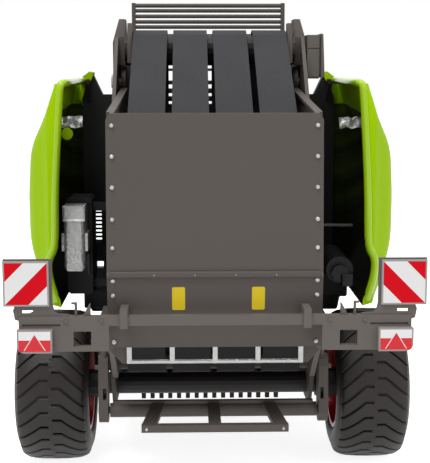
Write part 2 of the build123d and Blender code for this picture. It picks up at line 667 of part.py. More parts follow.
def cover_form(inset):
    """The body between the section and the plan of the cover, both moved in by inset."""
    section = offset(rounded_outline(COVER_SECTION), -inset) if inset else rounded_outline(COVER_SECTION)
    plan = offset(rounded_outline(COVER_PLAN), -inset) if inset else rounded_outline(COVER_PLAN)
    upright = Plane(origin=(0, COVER_REAR_Y - 1, 0), x_dir=(1, 0, 0), z_dir=(0, -1, 0))
    along = extrude(upright * section, amount=COVER_REAR_Y - 1 - COVER_FRONT_Y - 1)
    return along & extrude(Pos(0, 0, 30) * plan, amount=60)


def make_cover():
    shell = cover_form(0) - cover_form(COVER_T)
    inside = [(-1, COVER_TOP + 1), *COVER_RIM, (-1, 33.0)]
    shell -= cross_plate(inside, COVER_REAR_Y - 1, HOOD_Y)
    shell -= block(-1, COVER_LAP_X, HOOD_Y, COVER_FRONT_Y + 1, 33.0, COVER_TOP + 1)
    shell -= block(COVER_HINGE_X, 31.5, HOOD_Y - CORNER_T - 3.0, COVER_FRONT_Y + 1, COVER_NOTCH_Z,
                   COVER_TOP + 1)
    for y0 in (5.0, 23.0):
        knuckle = rod((COVER_HINGE_X, y0, COVER_HINGE_Z), (COVER_HINGE_X, y0 + KNUCKLE_LEN, COVER_HINGE_Z),
                      KNUCKLE_R, sides=BAR_SIDES)
        leaf = block(COVER_HINGE_X, 30.6, y0, y0 + KNUCKLE_LEN, COVER_TOP - COVER_T, COVER_TOP)
        shell += knuckle + leaf
    return shell - rod((COVER_HINGE_X, COVER_REAR_Y, COVER_HINGE_Z),
                       (COVER_HINGE_X, COVER_FRONT_Y, COVER_HINGE_Z), COVER_PIN_R + PIN_GAP,
                       sides=BAR_SIDES)


save_pair("side_cover", make_cover())


# Bale ramp behind the wheels' axle

def make_ramp():
    half_t = 0.45
    tube = cross_rod(RAMP_Y, RAMP_Z, RAMP_TUBE_R, WALL_OUT - RUN_GAP, sides=PIN_SIDES)
    top = block(-WALL_OUT + 1, WALL_OUT - 1, RAMP_Y - 0.5, RAMP_Y + 0.5, RAMP_Z, RAMP_Z + 2.0)
    pins = on_both_sides(cross_rod(RAMP_Y, RAMP_Z, 0.7, WALL_OUT - 1, ARM_OUT + 0.2, sides=BAR_SIDES))
    low, high = RAMP_FRAME_Z - half_t, RAMP_FRAME_Z + half_t
    middle = block(-1.2, 1.2, RAMP_REAR_Y, RAMP_Y, low, high)
    side = flat_plate([(9.8, RAMP_Y), (12.4, RAMP_Y), (13.9, RAMP_REAR_Y), (11.2, RAMP_REAR_Y)], low, high)
    bar = block(-13.9, 13.9, RAMP_REAR_Y - RAMP_BAR, RAMP_REAR_Y, RAMP_FRAME_Z - RAMP_BAR / 2,
                RAMP_FRAME_Z + RAMP_BAR / 2)
    return tube + top + pins + middle + on_both_sides(side) + bar


def make_ramp_arm():
    top_z = 24.6
    low_y, front = RAMP_Y, WALL_REAR_Y + 4
    arm = side_plate([(low_y + 1.0, RAMP_Z - 2.4), (low_y + 2.4, RAMP_Z - 1.0), (low_y + 2.4, top_z - 2.6),
                      (low_y + 3.4, top_z - 1.8), (front, top_z - 2.6), (front, top_z + 0.6),
                      (low_y + 0.6, top_z + 1.6), (low_y - 0.9, top_z + 1.0), (low_y - 1.4, top_z - 0.4),
                      (low_y - 2.4, RAMP_Z - 0.2), (low_y - 1.6, RAMP_Z - 1.9),
                      (low_y - 0.6, RAMP_Z - 2.4)], WALL_OUT, ARM_OUT)
    arm -= cross_rod(RAMP_Y, RAMP_Z, 0.7 + PIN_GAP, WALL_OUT - 1, ARM_OUT + 1, sides=PIN_SIDES)
    arm -= block(WALL_OUT + 0.3, WALL_OUT + 1.0, RAMP_Y - 3, RAMP_Y + 3, RAMP_Z + 2.7, RAMP_Z + 5.0)
    stud = cross_rod(RAMP_Y + 0.4, top_z - 0.8, 0.5, ARM_OUT, ARM_OUT + 0.8, sides=NUT_SIDES)
    x = WALL_OUT + 0.65
    screw = rod((x, RAMP_Y + 0.4, top_z), (x, RAMP_Y + 0.4, 34.6), 0.55, sides=BAR_SIDES)
    hold = block(WALL_OUT, x + 0.8, RAMP_Y - 0.5, WALL_REAR_Y + 2, 33.4, 34.6)
    return arm + stud + screw + hold


save("bale_ramp", make_ramp())
save("ramp_arms", on_both_sides(make_ramp_arm()))


# Crop rotor

def make_rotor():
    shaft = cross_rod(ROTOR_Y, ROTOR_Z, ROTOR_DRUM_R, WALL_IN - RUN_GAP, sides=6)
    shaft += cross_rod(ROTOR_Y, ROTOR_Z, ROTOR_PIN_R, WALL_OUT, sides=12)
    first = -ROTOR_PITCH * (ROTOR_STARS - 1) / 2
    # radius and angle in degrees of the corners of one of a star's four hooked tines
    tine = [(ROTOR_R, -4), (ROTOR_R, 5), (ROTOR_DRUM_R + 0.5, 40)]
    outline = [(r * math.cos(math.radians(a + 90 * j)), r * math.sin(math.radians(a + 90 * j)))
               for j in range(4) for r, a in tine]
    star = side_plate(outline, -0.5, 0.5)
    return shaft + [Pos(first + i * ROTOR_PITCH, ROTOR_Y, ROTOR_Z) * star for i in range(ROTOR_STARS)]


save("crop_rotor", make_rotor())


# Pick-up

def make_pickup_frame():
    outer = PICKUP_HALF + PLATE_T
    end = [(REEL_Y - 5.2, 14.2), (REEL_Y + 2.2, 14.4), (REEL_Y + 5.2, 11.4), (REEL_Y + 5.2, 7.0),
           (REEL_Y + 2.2, 4.2), (REEL_Y - 3.0, 4.0), (GAUGE_Y - 1.2, GAUGE_R - 1.2),
           (GAUGE_Y - 1.2, 9.6), (CROSS_TUBE_Y - 1.6, 15.2)]
    end = side_plate(end, PICKUP_HALF, outer)
    end -= cross_rod(REEL_Y, REEL_Z, REEL_PIN_R + PIN_GAP, PICKUP_HALF - 1, outer + 1, sides=PIN_SIDES)
    arm = side_plate([(PIVOT_Y - 1.6, PIVOT_Z + 0.6), (PIVOT_Y, PIVOT_Z + 1.8), (PIVOT_Y + 1.8, PIVOT_Z + 0.8),
                      (CROSS_TUBE_Y + 1.4, CROSS_TUBE_Z + 0.8), (CROSS_TUBE_Y + 0.4, CROSS_TUBE_Z - 1.4),
                      (PIVOT_Y - 1.0, PIVOT_Z - 1.6)], WALL_OUT + RUN_GAP, WALL_OUT + RUN_GAP + 1.4)
    arm -= cross_rod(PIVOT_Y, PIVOT_Z, PIVOT_PIN_R + PIN_GAP, WALL_OUT, ARM_OUT + 1, sides=PIN_SIDES)
    stub = cross_rod(GAUGE_Y, GAUGE_R, GAUGE_PIN_R, PICKUP_HALF + 0.4, GAUGE_X + GAUGE_W / 2 + 0.6,
                     sides=BAR_SIDES)
    tube = cross_rod(CROSS_TUBE_Y, CROSS_TUBE_Z, CROSS_TUBE_R, PICKUP_HALF + 0.4, sides=8)
    return tube + on_both_sides(end + arm + stub)


def slots_across():
    """How many strips stand across the pick-up, and the place of the first."""
    count = int(2 * (PICKUP_HALF - 1) / TINE_PITCH)
    return count, -TINE_PITCH * (count - 1) / 2


def make_strippers():
    count, first = slots_across()
    out, back = STRIPPER_R, 5.7
    thin = out - STRIPPER_T
    # y, z from the reel's shaft: a band that runs over, in front of and under the reel
    band = [(-back, 4.4), (0, out), (4.0, 3.6), (out, 0), (3.4, -3.9), (-1.5, -out + 0.2),
            (3.0, -3.4), (thin, 0), (3.5, 3.1), (0, thin), (-back, 3.8)]
    strip = side_plate([(REEL_Y + y, REEL_Z + z) for y, z in band], -0.8, 0.8)
    strips = [Pos(first + i * TINE_PITCH, 0, 0) * strip for i in range(count)]
    carrier = block(-PICKUP_HALF, PICKUP_HALF, REEL_Y - back, REEL_Y - back + 0.8,
                    REEL_Z + 2.6, REEL_Z + 4.6)
    return carrier + strips


def make_reel():
    count, first = slots_across()
    shaft = cross_rod(REEL_Y, REEL_Z, REEL_PIN_R, PICKUP_HALF + PLATE_T, sides=12)
    disc_x, disc_t = PICKUP_HALF - RUN_GAP - 0.6, 0.6
    arm = [(-0.8, -0.8), (0.8, -0.8), (0.6, TINE_BAR_R + 0.5), (-0.6, TINE_BAR_R + 0.5)]
    reel = shaft + cross_rod(REEL_Y, REEL_Z, 1.3, PICKUP_HALF - RUN_GAP, sides=8)
    for j in range(TINE_BARS):
        turn = Pos(0, REEL_Y, REEL_Z) * Rot(j * 360 / TINE_BARS + 45, 0, 0)
        bar = block(-disc_x - disc_t, disc_x + disc_t, -0.35, 0.35, TINE_BAR_R - 0.35, TINE_BAR_R + 0.35)
        tines = [block(x - 0.2, x + 0.2, -0.2, 0.2, TINE_BAR_R + 0.3, TINE_R)
                 for x in (first + (i + 0.5) * TINE_PITCH for i in range(count - 1))]
        arms = on_both_sides(side_plate(arm, disc_x, disc_x + disc_t))
        reel += turn * (bar + tines + arms)
    return reel


def make_gauge_wheel():
    inner, outer = GAUGE_X - GAUGE_W / 2, GAUGE_X + GAUGE_W / 2
    bore = GAUGE_PIN_R + PIN_GAP
    profile = [(inner, bore), (inner, GAUGE_R), (outer, GAUGE_R), (outer, GAUGE_R - 1.4), (outer - 0.8, bore)]
    return ring(profile, GAUGE_Y, GAUGE_R, 20)


save("pickup_frame", make_pickup_frame())
save("strippers", make_strippers())
save("tine_reel", make_reel())
save_pair("gauge_wheel", make_gauge_wheel())
save("pickup_pins", on_both_sides(cross_rod(PIVOT_Y, PIVOT_Z, PIVOT_PIN_R, WALL_OUT, ARM_OUT + 0.6,
                                            sides=BAR_SIDES)))


# Drawbar, hitch, gearbox, shaft and jack

def make_drawbar():
    low, high = DRAWBAR_Z - DRAWBAR_H / 2, DRAWBAR_Z + DRAWBAR_H / 2
    nose_rear = NOSE_FRONT - NOSE_LEN
    tip = nose_rear + NOSE_LEN / 2
    beam = flat_plate([(11.0, HOOD_Y), (14.4, HOOD_Y), (NOSE_HALF, tip), (0.4, tip)], low, high)
    cross = block(-WALL_OUT, WALL_OUT, HOOD_Y, HOOD_Y + 3.0, low, high)
    nose = block(-NOSE_HALF, NOSE_HALF, nose_rear, NOSE_FRONT, low, high)
    nose = chamfer(nose.edges().filter_by(Axis.Z).group_by(Axis.Y)[-1], 1.4)
    deck = block(-10.0, 10.0, DECK_Y, DECK_Y + DECK_LEN, high, high + DECK_T)
    rest_y = PTO_TIP_Y - PTO_SOCKET_DEEP - PTO_BELL_LEN - 0.3
    rest = block(-3.0, 3.0, rest_y - 1.4, rest_y, high, PTO_Z - PTO_GUARD_R)
    return cross + on_both_sides(beam) + nose + deck + rest


def make_hitch_eye():
    eye = Pos(0, EYE_Y, EYE_Z) * Cylinder(EYE_R_OUT, EYE_T)
    eye += block(-1.8, 1.8, NOSE_FRONT, EYE_Y, EYE_Z - EYE_T / 2, EYE_Z + EYE_T / 2)
    eye += block(-2.4, 2.4, NOSE_FRONT, NOSE_FRONT + 1.0, EYE_Z - 1.7, EYE_Z + 1.7)
    return eye - Pos(0, EYE_Y, EYE_Z) * Cylinder(EYE_HOLE_R, 2 * EYE_T)


GEARBOX_FRONT = DECK_Y + 10


def make_gearbox():
    deck = DRAWBAR_Z + DRAWBAR_H / 2 + DECK_T
    case = block(-4.5, 4.5, GEARBOX_FRONT - 8, GEARBOX_FRONT, deck, PTO_Z + 4.5)
    case = chamfer(case.edges().filter_by(Axis.Z), 1.6)
    case = chamfer(case.edges().group_by(Axis.Z)[-1], 0.5)
    case += rod((0, GEARBOX_FRONT, PTO_Z), (0, GEARBOX_FRONT + 2, PTO_Z), 2.6, sides=8)
    foot = block(-6.0, 6.0, GEARBOX_FRONT - 7.0, GEARBOX_FRONT - 1.0, deck, deck + 0.8)
    return case + foot + cross_rod(GEARBOX_FRONT - 4, PTO_Z, 1.5, -WALL_OUT - 1.0, -4.0, sides=12)


def make_pto_shaft():
    start = GEARBOX_FRONT + 2
    end = PTO_TIP_Y
    bell_end = end - PTO_SOCKET_DEEP

    def bell(y, way):
        """A guard bell that narrows from y the way given, +1 forwards or -1 backwards."""
        wide = Plane(origin=(0, y, PTO_Z), z_dir=(0, way, 0)) * RegularPolygon(PTO_BELL_R, 12)
        narrow = Plane(origin=(0, y + way * PTO_BELL_LEN, PTO_Z), z_dir=(0, way, 0))
        narrow = narrow * RegularPolygon(PTO_GUARD_R, 12)
        return loft([wide, narrow])

    tube = rod((0, start, PTO_Z), (0, bell_end - 2, PTO_Z), PTO_GUARD_R, sides=12)
    sleeve = rod((0, bell_end - 2, PTO_Z), (0, end, PTO_Z), 1.5, sides=12)
    shaft = tube + sleeve + bell(start, 1) + bell(bell_end, -1)
    return shaft - rod((0, bell_end, PTO_Z), (0, end + 1, PTO_Z), PTO_SOCKET_R)


def make_jack_sleeve():
    sleeve = rod((JACK_X, JACK_Y, 20.0), (JACK_X, JACK_Y, 29.0), JACK_SLEEVE_R, sides=12)
    sleeve += block(JACK_X, -4.0, JACK_Y - 0.8, JACK_Y + 0.8, DRAWBAR_Z - 1.5, DRAWBAR_Z + 1.5)
    sleeve -= make_drawbar()
    return sleeve - rod((JACK_X, JACK_Y, 10.0), (JACK_X, JACK_Y, 40.0), JACK_LEG_R + PIN_GAP, sides=12)


def make_jack_leg():
    leg = rod((JACK_X, JACK_Y, 0), (JACK_X, JACK_Y, 32.0), JACK_LEG_R, sides=12)
    foot = block(JACK_X - 3.0, JACK_X + 3.0, JACK_Y - 3.0, JACK_Y + 3.0, 0, 0.9)
    foot = chamfer(foot.edges().filter_by(Axis.Z), 1.2)
    crank = rod((JACK_X, JACK_Y, 31.3), (JACK_X, JACK_Y - 4.2, 31.3), 0.5, sides=6)
    knob = block(JACK_X - 2.4, JACK_X, JACK_Y - 4.2, JACK_Y - 3.2, 30.9, 31.7)
    return leg + foot + crank + knob


save("drawbar", make_drawbar())
save("hitch_eye", make_hitch_eye())
save("gearbox", make_gearbox())
save("pto_shaft", make_pto_shaft())
save("jack_sleeve", make_jack_sleeve())
save("jack_leg", make_jack_leg())
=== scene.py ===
# %% [markdown]
# # A scale model round baler
# The object is a 1:32 model of a farm machine, 146 mm long. Its real pieces come from the
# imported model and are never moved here. This script gives them their finishes, adds the
# small pieces that are too fine for the construction, and lights and frames the whole.

# %% Load the model
import json
import math

import bmesh
import bpy
from mathutils import Euler, Matrix, Vector


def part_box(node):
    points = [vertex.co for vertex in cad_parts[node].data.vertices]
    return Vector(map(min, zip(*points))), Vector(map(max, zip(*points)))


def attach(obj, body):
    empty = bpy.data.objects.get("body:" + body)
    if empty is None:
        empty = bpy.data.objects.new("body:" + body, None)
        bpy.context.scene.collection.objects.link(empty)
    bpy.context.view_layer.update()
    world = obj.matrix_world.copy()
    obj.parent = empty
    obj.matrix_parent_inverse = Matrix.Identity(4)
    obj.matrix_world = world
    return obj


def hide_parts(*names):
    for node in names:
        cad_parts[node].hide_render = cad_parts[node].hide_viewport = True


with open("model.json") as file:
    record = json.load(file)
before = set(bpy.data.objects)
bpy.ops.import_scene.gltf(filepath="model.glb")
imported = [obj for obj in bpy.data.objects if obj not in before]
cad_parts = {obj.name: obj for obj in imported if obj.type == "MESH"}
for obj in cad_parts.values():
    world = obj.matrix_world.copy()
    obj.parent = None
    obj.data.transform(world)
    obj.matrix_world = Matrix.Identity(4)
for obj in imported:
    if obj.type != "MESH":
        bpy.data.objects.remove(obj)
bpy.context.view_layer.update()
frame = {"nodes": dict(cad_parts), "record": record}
nodes = frame["nodes"]
MM = 0.001  # metres in a millimetre
axle_low, axle_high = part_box("axle")
AXLE_Y = (axle_low[1] + axle_high[1]) / 2


def at(x, y, z):
    """A place given in mm from the wheel axle and the floor."""
    return Vector((x * MM, AXLE_Y + y * MM, z * MM))


print("axle at y =", round(AXLE_Y / MM, 2), "mm")

# %% [markdown]
# The photograph was taken from close behind with a moderate lens, a little above the model
# and tilted down. Its place and angles were fitted to measured points of the model. The
# strong perspective, which makes the tyres look large, comes from this short distance.

# %% Camera
PHOTO_H = 463
FOCAL_PX = 1081.0
SENSOR_MM = 36.0
CAMERA_PLACE = Vector((-4.65, -262.54, 82.69)) * MM
YAW, PITCH, ROLL = math.radians(1.354), math.radians(8.397), math.radians(-0.046)

camera_data = bpy.data.cameras.new("camera")
camera_data.sensor_fit = "VERTICAL"
camera_data.sensor_height = SENSOR_MM
camera_data.lens = FOCAL_PX * SENSOR_MM / PHOTO_H
camera_data.clip_start = 0.01
camera_data.clip_end = 10
camera = bpy.data.objects.new("camera", camera_data)
bpy.context.scene.collection.objects.link(camera)
aim = Euler((math.pi / 2 - PITCH, 0, -YAW)).to_matrix() @ Matrix.Rotation(ROLL, 3, "Z")
camera.matrix_world = Matrix.Translation(CAMERA_PLACE) @ aim.to_4x4()
bpy.context.scene.camera = camera
print("lens", round(camera_data.lens, 2), "mm")

# %% [markdown]
# A material is a small net of nodes. Three short helpers keep the net readable: one adds a
# node and fills its sockets, one does a sum, and one starts a group, which is a net with
# named sockets of its own that many materials can share.


# %% Helpers for nodes
def fill(socket, value, tree):
    """Links a socket to another node's output, or sets its plain value."""
    if isinstance(value, bpy.types.NodeSocket):
        tree.links.new(value, socket)
    elif value is not None:
        socket.default_value = value


def add(tree, kind, inputs=None, **settings):
    made = tree.nodes.new(kind)
    for name, value in settings.items():
        setattr(made, name, value)
    for name, value in (inputs or {}).items():
        fill(made.inputs[name], value, tree)
    return made


def calc(tree, what, *values):
    made = add(tree, "ShaderNodeMath", operation=what)
    for socket, value in zip(made.inputs, values):
        fill(socket, value, tree)
    return made.outputs[0]


def start_group(name, inputs, outputs):
    """A node group with named inputs (name, kind, value) and outputs (name, kind)."""
    tree = bpy.data.node_groups.new(name, "ShaderNodeTree")
    for label, kind, value in inputs:
        socket = tree.interface.new_socket(label, in_out="INPUT", socket_type="NodeSocket" + kind)
        socket.default_value = value
    for label, kind in outputs:
        tree.interface.new_socket(label, in_out="OUTPUT", socket_type="NodeSocket" + kind)
    return tree, tree.nodes.new("NodeGroupInput").outputs, tree.nodes.new("NodeGroupOutput").inputs


def place_of(tree):
    """The x, y and z of the shaded point on its own object, and the point itself."""
    coords = add(tree, "ShaderNodeTexCoord")
    apart = add(tree, "ShaderNodeSeparateXYZ", {"Vector": coords.outputs["Object"]})
    return (*apart.outputs, coords.outputs["Object"])


def both(tree, first, *rest):
    """One where every mask is one."""
    for mask in rest:
        first = calc(tree, "MULTIPLY", first, mask)
    return first


def either(tree, first, *rest):
    """One where any mask is one."""
    for mask in rest:
        first = calc(tree, "MAXIMUM", first, mask)
    return first


def blend_colors(tree, mask, low, high):
    made = add(tree, "ShaderNodeMix", {"Factor": mask}, data_type="RGBA")
    fill([s for s in made.inputs if s.type == "RGBA" and s.name == "A"][0], low, tree)
    fill([s for s in made.inputs if s.type == "RGBA" and s.name == "B"][0], high, tree)
    return [s for s in made.outputs if s.type == "RGBA"][0]


# %% [markdown]
# The photograph has a pure white studio. The world is white for whatever looks at it straight
# or by reflection, and dimmer as a light, so that the paint keeps its own colour. The floor
# does the same with a little glow of its own, and still takes the model's soft shadow.

# %% Floor, world and lamps
WORLD_LIGHT = 0.30
FLOOR_SIZE = 4
FLOOR_GLOW, FLOOR_ROUGH = 0.87, 0.9
FLOOR_TONE, FIBRE_TONE, FIBRE_SCALE = 0.82, 0.02, 400.0
WHITE = (1, 1, 1, 1)
LAMP_AIM = Vector((0, 0, 0.05))
# place and size in metres, and power in watts
LAMPS = {
    "key": ((-0.22, -0.36, 0.78), 0.35, 3.6),
    "fill": ((0.45, -0.45, 0.42), 0.35, 0.9),
    "top": ((0.0, 0.05, 0.75), 0.45, 1.3),
}


def seen_straight(tree):
    """One for rays from the camera, from a reflection or through glass."""
    path = add(tree, "ShaderNodeLightPath").outputs
    return either(tree, path["Is Camera Ray"], path["Is Glossy Ray"], path["Is Transmission Ray"])


world = bpy.data.worlds.new("studio")
bpy.context.scene.world = world
world.use_nodes = True
sky = world.node_tree
sky.nodes["Background"].inputs["Color"].default_value = WHITE
strength = calc(sky, "MULTIPLY_ADD", seen_straight(sky), 1 - WORLD_LIGHT, WORLD_LIGHT)
sky.links.new(strength, sky.nodes["Background"].inputs["Strength"])

bpy.ops.object.select_all(action="DESELECT")
bpy.ops.mesh.primitive_plane_add(size=FLOOR_SIZE, location=(0, 0, 0))
floor = bpy.context.object
floor.name = "floor"
floor_mat = bpy.data.materials.new("floor_white")
floor_mat.use_nodes = True
paper = floor_mat.node_tree
bsdf = paper.nodes["Principled BSDF"]
bsdf.inputs["Roughness"].default_value = FLOOR_ROUGH
bsdf.inputs["Emission Color"].default_value = WHITE
glow = calc(paper, "MULTIPLY", seen_straight(paper), FLOOR_GLOW)
paper.links.new(glow, bsdf.inputs["Emission Strength"])
fibre = add(paper, "ShaderNodeTexNoise", {"Scale": FIBRE_SCALE, "Vector": place_of(paper)[3]})
tone = calc(paper, "MULTIPLY_ADD", fibre.outputs[0], FIBRE_TONE, FLOOR_TONE)
paper.links.new(tone, bsdf.inputs["Base Color"])
floor.data.materials.append(floor_mat)

for name, (place, size, power) in LAMPS.items():
    lamp_data = bpy.data.lights.new(name, "AREA")
    lamp_data.size = size
    lamp_data.energy = power
    lamp = bpy.data.objects.new(name, lamp_data)
    bpy.context.scene.collection.objects.link(lamp)
    lamp.location = place
    lamp.rotation_euler = (LAMP_AIM - Vector(place)).to_track_quat("-Z", "Y").to_euler()
    print("lamp", name, power, "W")

# %% [markdown]
# Paint and moulded plastic are never one flat colour: the tone drifts a little from place to
# place, and the surface has a fine grain. One group gives both, from noise on the piece's own
# coordinates, so the pattern stays put when the piece moves.

# %% Moulded surface
PATCH_SCALE = 90.0   # broad patches of tone in a metre
PATCH_SHARE = 0.6    # of the tone's drift; the grain has the rest
PATCH_ROUGH = 0.25   # how far the patches move the roughness
GRAIN_BUMP, COAT_ROUGH = 0.6, 0.08
moulded_tree, given, out = start_group(
    "moulded_surface",
    [("Color", "Color", (0.5, 0.5, 0.5, 1)), ("Drift", "Float", 0.1), ("Grain", "Float", 2500.0),
     ("Roughness", "Float", 0.5)],
    [("Color", "Color"), ("Roughness", "Float"), ("Height", "Float")])
point = place_of(moulded_tree)[3]
broad = add(moulded_tree, "ShaderNodeTexNoise",
            {"Vector": point, "Scale": PATCH_SCALE, "Detail": 3.0}).outputs[0]
fine = add(moulded_tree, "ShaderNodeTexNoise",
           {"Vector": point, "Scale": given["Grain"], "Detail": 4.0}).outputs[0]
grain_share = calc(moulded_tree, "MULTIPLY", fine, 1 - PATCH_SHARE)
mixed = calc(moulded_tree, "MULTIPLY_ADD", broad, PATCH_SHARE, grain_share)
swing = calc(moulded_tree, "MULTIPLY", calc(moulded_tree, "SUBTRACT", mixed, 0.5), 2.0)
value = calc(moulded_tree, "MULTIPLY_ADD", swing, given["Drift"], 1.0)
shade = add(moulded_tree, "ShaderNodeHueSaturation", {"Value": value, "Color": given["Color"]})
moulded_tree.links.new(shade.outputs[0], out["Color"])
rough = calc(moulded_tree, "MULTIPLY_ADD", calc(moulded_tree, "SUBTRACT", broad, 0.5), PATCH_ROUGH,
             given["Roughness"])
moulded_tree.links.new(rough, out["Roughness"])
moulded_tree.links.new(fine, out["Height"])


def moulded(name, color, rough, drift, grain, depth, coat=0.0, metal=0.0, shine=0.3, extra=None):
    """A material over the moulded surface; depth is the grain's height in mm."""
    mat = bpy.data.materials.new(name)
    mat.use_nodes = True
    tree = mat.node_tree
    shader = tree.nodes["Principled BSDF"]
    skin = add(tree, "ShaderNodeGroup", {"Color": (*color, 1), "Drift": drift, "Grain": grain,
                                         "Roughness": rough}, node_tree=moulded_tree)
    tree.links.new(skin.outputs["Color"], shader.inputs["Base Color"])
    tree.links.new(skin.outputs["Roughness"], shader.inputs["Roughness"])
    bump = add(tree, "ShaderNodeBump", {"Height": skin.outputs["Height"], "Strength": GRAIN_BUMP,
                                        "Distance": depth * MM})
    tree.links.new(bump.outputs[0], shader.inputs["Normal"])
    shader.inputs["Specular IOR Level"].default_value = shine
    shader.inputs["Coat Weight"].default_value = coat
    shader.inputs["Coat Roughness"].default_value = COAT_ROUGH
    shader.inputs["Metallic"].default_value = metal
    if extra:
        extra(tree, skin, shader, bump)
    return mat


# %% [markdown]
# The covers are one bright moulding with a black liner inside. Their meshes are one piece, so
# the liner is a mask: the faces whose normal looks inwards. The black is partly the liner and
# partly a painted shade: the uppermost part of the inside, which the light reaches, is left
# bright, with a slightly slanted lower edge. Slanted greenish streaks on the black, stronger
# higher up, are a painted reflection.

# %% Where a cover is lined, with painted shade and a painted reflection
# heights above the floor and lengths from the axle, in mm
LINER_AND_SHADE_TOP, LOW_FLANGE_TOP = 72.6, 50
REAR_FLANGE_Y, FRONT_FLANGE_Y = 0.0, 20
REFLECTION_FROM, REFLECTION_TO = 44, 72
REFLECTION_STREAK_SCALE = 260.0
TURNED_IN, TURNED_BACK = -0.35, 0.5
liner_and_shade_tree, given, out = start_group("cover_liner", [("Rise", "Float", 0.07)],
                                     [("Mask", "Float"), ("Sheen", "Float"), ("Inside", "Float")])
x, y, z = place_of(liner_and_shade_tree)[:3]
facing = add(liner_and_shade_tree, "ShaderNodeSeparateXYZ",
             {"Vector": add(liner_and_shade_tree, "ShaderNodeTexCoord").outputs["Normal"]}).outputs
side = calc(liner_and_shade_tree, "SIGN", x)
inwards = calc(liner_and_shade_tree, "LESS_THAN", calc(liner_and_shade_tree, "MULTIPLY", facing[0], side), TURNED_IN)
length = calc(liner_and_shade_tree, "SUBTRACT", y, AXLE_Y)
in_front = calc(liner_and_shade_tree, "GREATER_THAN", length, FRONT_FLANGE_Y * MM)
at_rear = calc(liner_and_shade_tree, "LESS_THAN", length, REAR_FLANGE_Y * MM)
front_back = both(liner_and_shade_tree, in_front, calc(liner_and_shade_tree, "LESS_THAN", facing[1], -TURNED_BACK))
rear_back = both(liner_and_shade_tree, at_rear, calc(liner_and_shade_tree, "GREATER_THAN", facing[1], TURNED_BACK))
low_back = both(liner_and_shade_tree, calc(liner_and_shade_tree, "LESS_THAN", z, LOW_FLANGE_TOP * MM),
                calc(liner_and_shade_tree, "GREATER_THAN", facing[2], TURNED_BACK))
inside = either(liner_and_shade_tree, inwards, front_back, rear_back, low_back)
# below this slanted edge the inward faces are painted black: the liner, and painted shade
edge = calc(liner_and_shade_tree, "MULTIPLY_ADD", length, given["Rise"], LINER_AND_SHADE_TOP * MM)
mask = both(liner_and_shade_tree, inside, calc(liner_and_shade_tree, "LESS_THAN", z, edge))
liner_and_shade_tree.links.new(mask, out["Mask"])
# slanted streaks that grow towards the top: a painted reflection on the black
slanted = calc(liner_and_shade_tree, "ADD", calc(liner_and_shade_tree, "MULTIPLY", y, 0.5), z)
reflection_streaks = add(liner_and_shade_tree, "ShaderNodeTexNoise", {"Scale": REFLECTION_STREAK_SCALE, "Detail": 3.0},
              noise_dimensions="1D")
liner_and_shade_tree.links.new(slanted, reflection_streaks.inputs["W"])
height = add(liner_and_shade_tree, "ShaderNodeMapRange",
             {"Value": z, "From Min": REFLECTION_FROM * MM, "From Max": REFLECTION_TO * MM})
shade = both(liner_and_shade_tree, reflection_streaks.outputs[0], height.outputs[0])
liner_and_shade_tree.links.new(shade, out["Sheen"])
liner_and_shade_tree.links.new(inside, out["Inside"])

LIME = (0.43, 0.72, 0.002)
# the black of the liner and of the painted shade, and the tint of the painted reflection
LINER_AND_SHADE_BLACK = (0.009, 0.010, 0.006, 1)
LINER_PAINTED_REFLECTION = (0.11, 0.16, 0.03, 1)
LINER_ROUGHER = 0.4


# paints the liner's black, its painted shade and its painted reflection into the cover's colour
def line_and_shade_cover(tree, skin, shader, bump):
    liner_and_shade = add(tree, "ShaderNodeGroup", node_tree=liner_and_shade_tree).outputs
    dark = blend_colors(tree, liner_and_shade["Sheen"], LINER_AND_SHADE_BLACK, LINER_PAINTED_REFLECTION)
    mixed = blend_colors(tree, liner_and_shade["Mask"], skin.outputs["Color"], dark)
    tree.links.new(mixed, shader.inputs["Base Color"])
    rough = calc(tree, "MULTIPLY_ADD", liner_and_shade["Inside"], LINER_ROUGHER, skin.outputs["Roughness"])
    tree.links.new(rough, shader.inputs["Roughness"])


# %% [markdown]
# The housing in front is grey outside. What shows of it from behind, between walls and covers,
# is painted black: a painted shade on the wings and on the middle below the belts, where little
# light reaches. Again a mask of place does it.

# %% Where shade is painted on the housing
# where the painted shade on the housing's rear ends, in mm, and the black that paints it
SHADE_TOP, SHADE_BEHIND, WINGS_FROM = 72, 34.5, 21.6
HOUSING_PAINTED_SHADE = (0.011, 0.010, 0.010, 1)
housing_shade_tree, given, out = start_group("housing_painted_shade", [("Height", "Float", SHADE_TOP * MM)],
                                    [("Mask", "Float")])
x, y, z = place_of(housing_shade_tree)[:3]
behind = calc(housing_shade_tree, "LESS_THAN", y, AXLE_Y + SHADE_BEHIND * MM)
wing = calc(housing_shade_tree, "GREATER_THAN", calc(housing_shade_tree, "ABSOLUTE", x), WINGS_FROM * MM)
low = calc(housing_shade_tree, "LESS_THAN", z, given["Height"])
housing_shade_tree.links.new(both(housing_shade_tree, behind, either(housing_shade_tree, wing, low)), out["Mask"])


# paints the shade behind the housing as black into its grey
def paint_housing_shade(tree, skin, shader, bump):
    mask = add(tree, "ShaderNodeGroup", node_tree=housing_shade_tree).outputs["Mask"]
    mixed = blend_colors(tree, mask, skin.outputs["Color"], HOUSING_PAINTED_SHADE)
    tree.links.new(mixed, shader.inputs["Base Color"])


# %% [markdown]
# The belts are flat moulded bands with a fine cross ribbing. Ribs half a millimetre apart would
# be thousands of faces, so they are a bump: one wave across and one along the belt, broken by
# noise so that no two ribs are alike. Low in the chamber the belts are darkened: a painted
# shade, for the little light that reaches there.

# %% Belt ribbing
RIB_PITCH = 0.45
BELT_RISE = -0.5     # mm the pattern climbs for each mm forwards
SPECK_SCALE = 1500.0
RIB_TONE, BELT_TONE = 0.16, 0.86
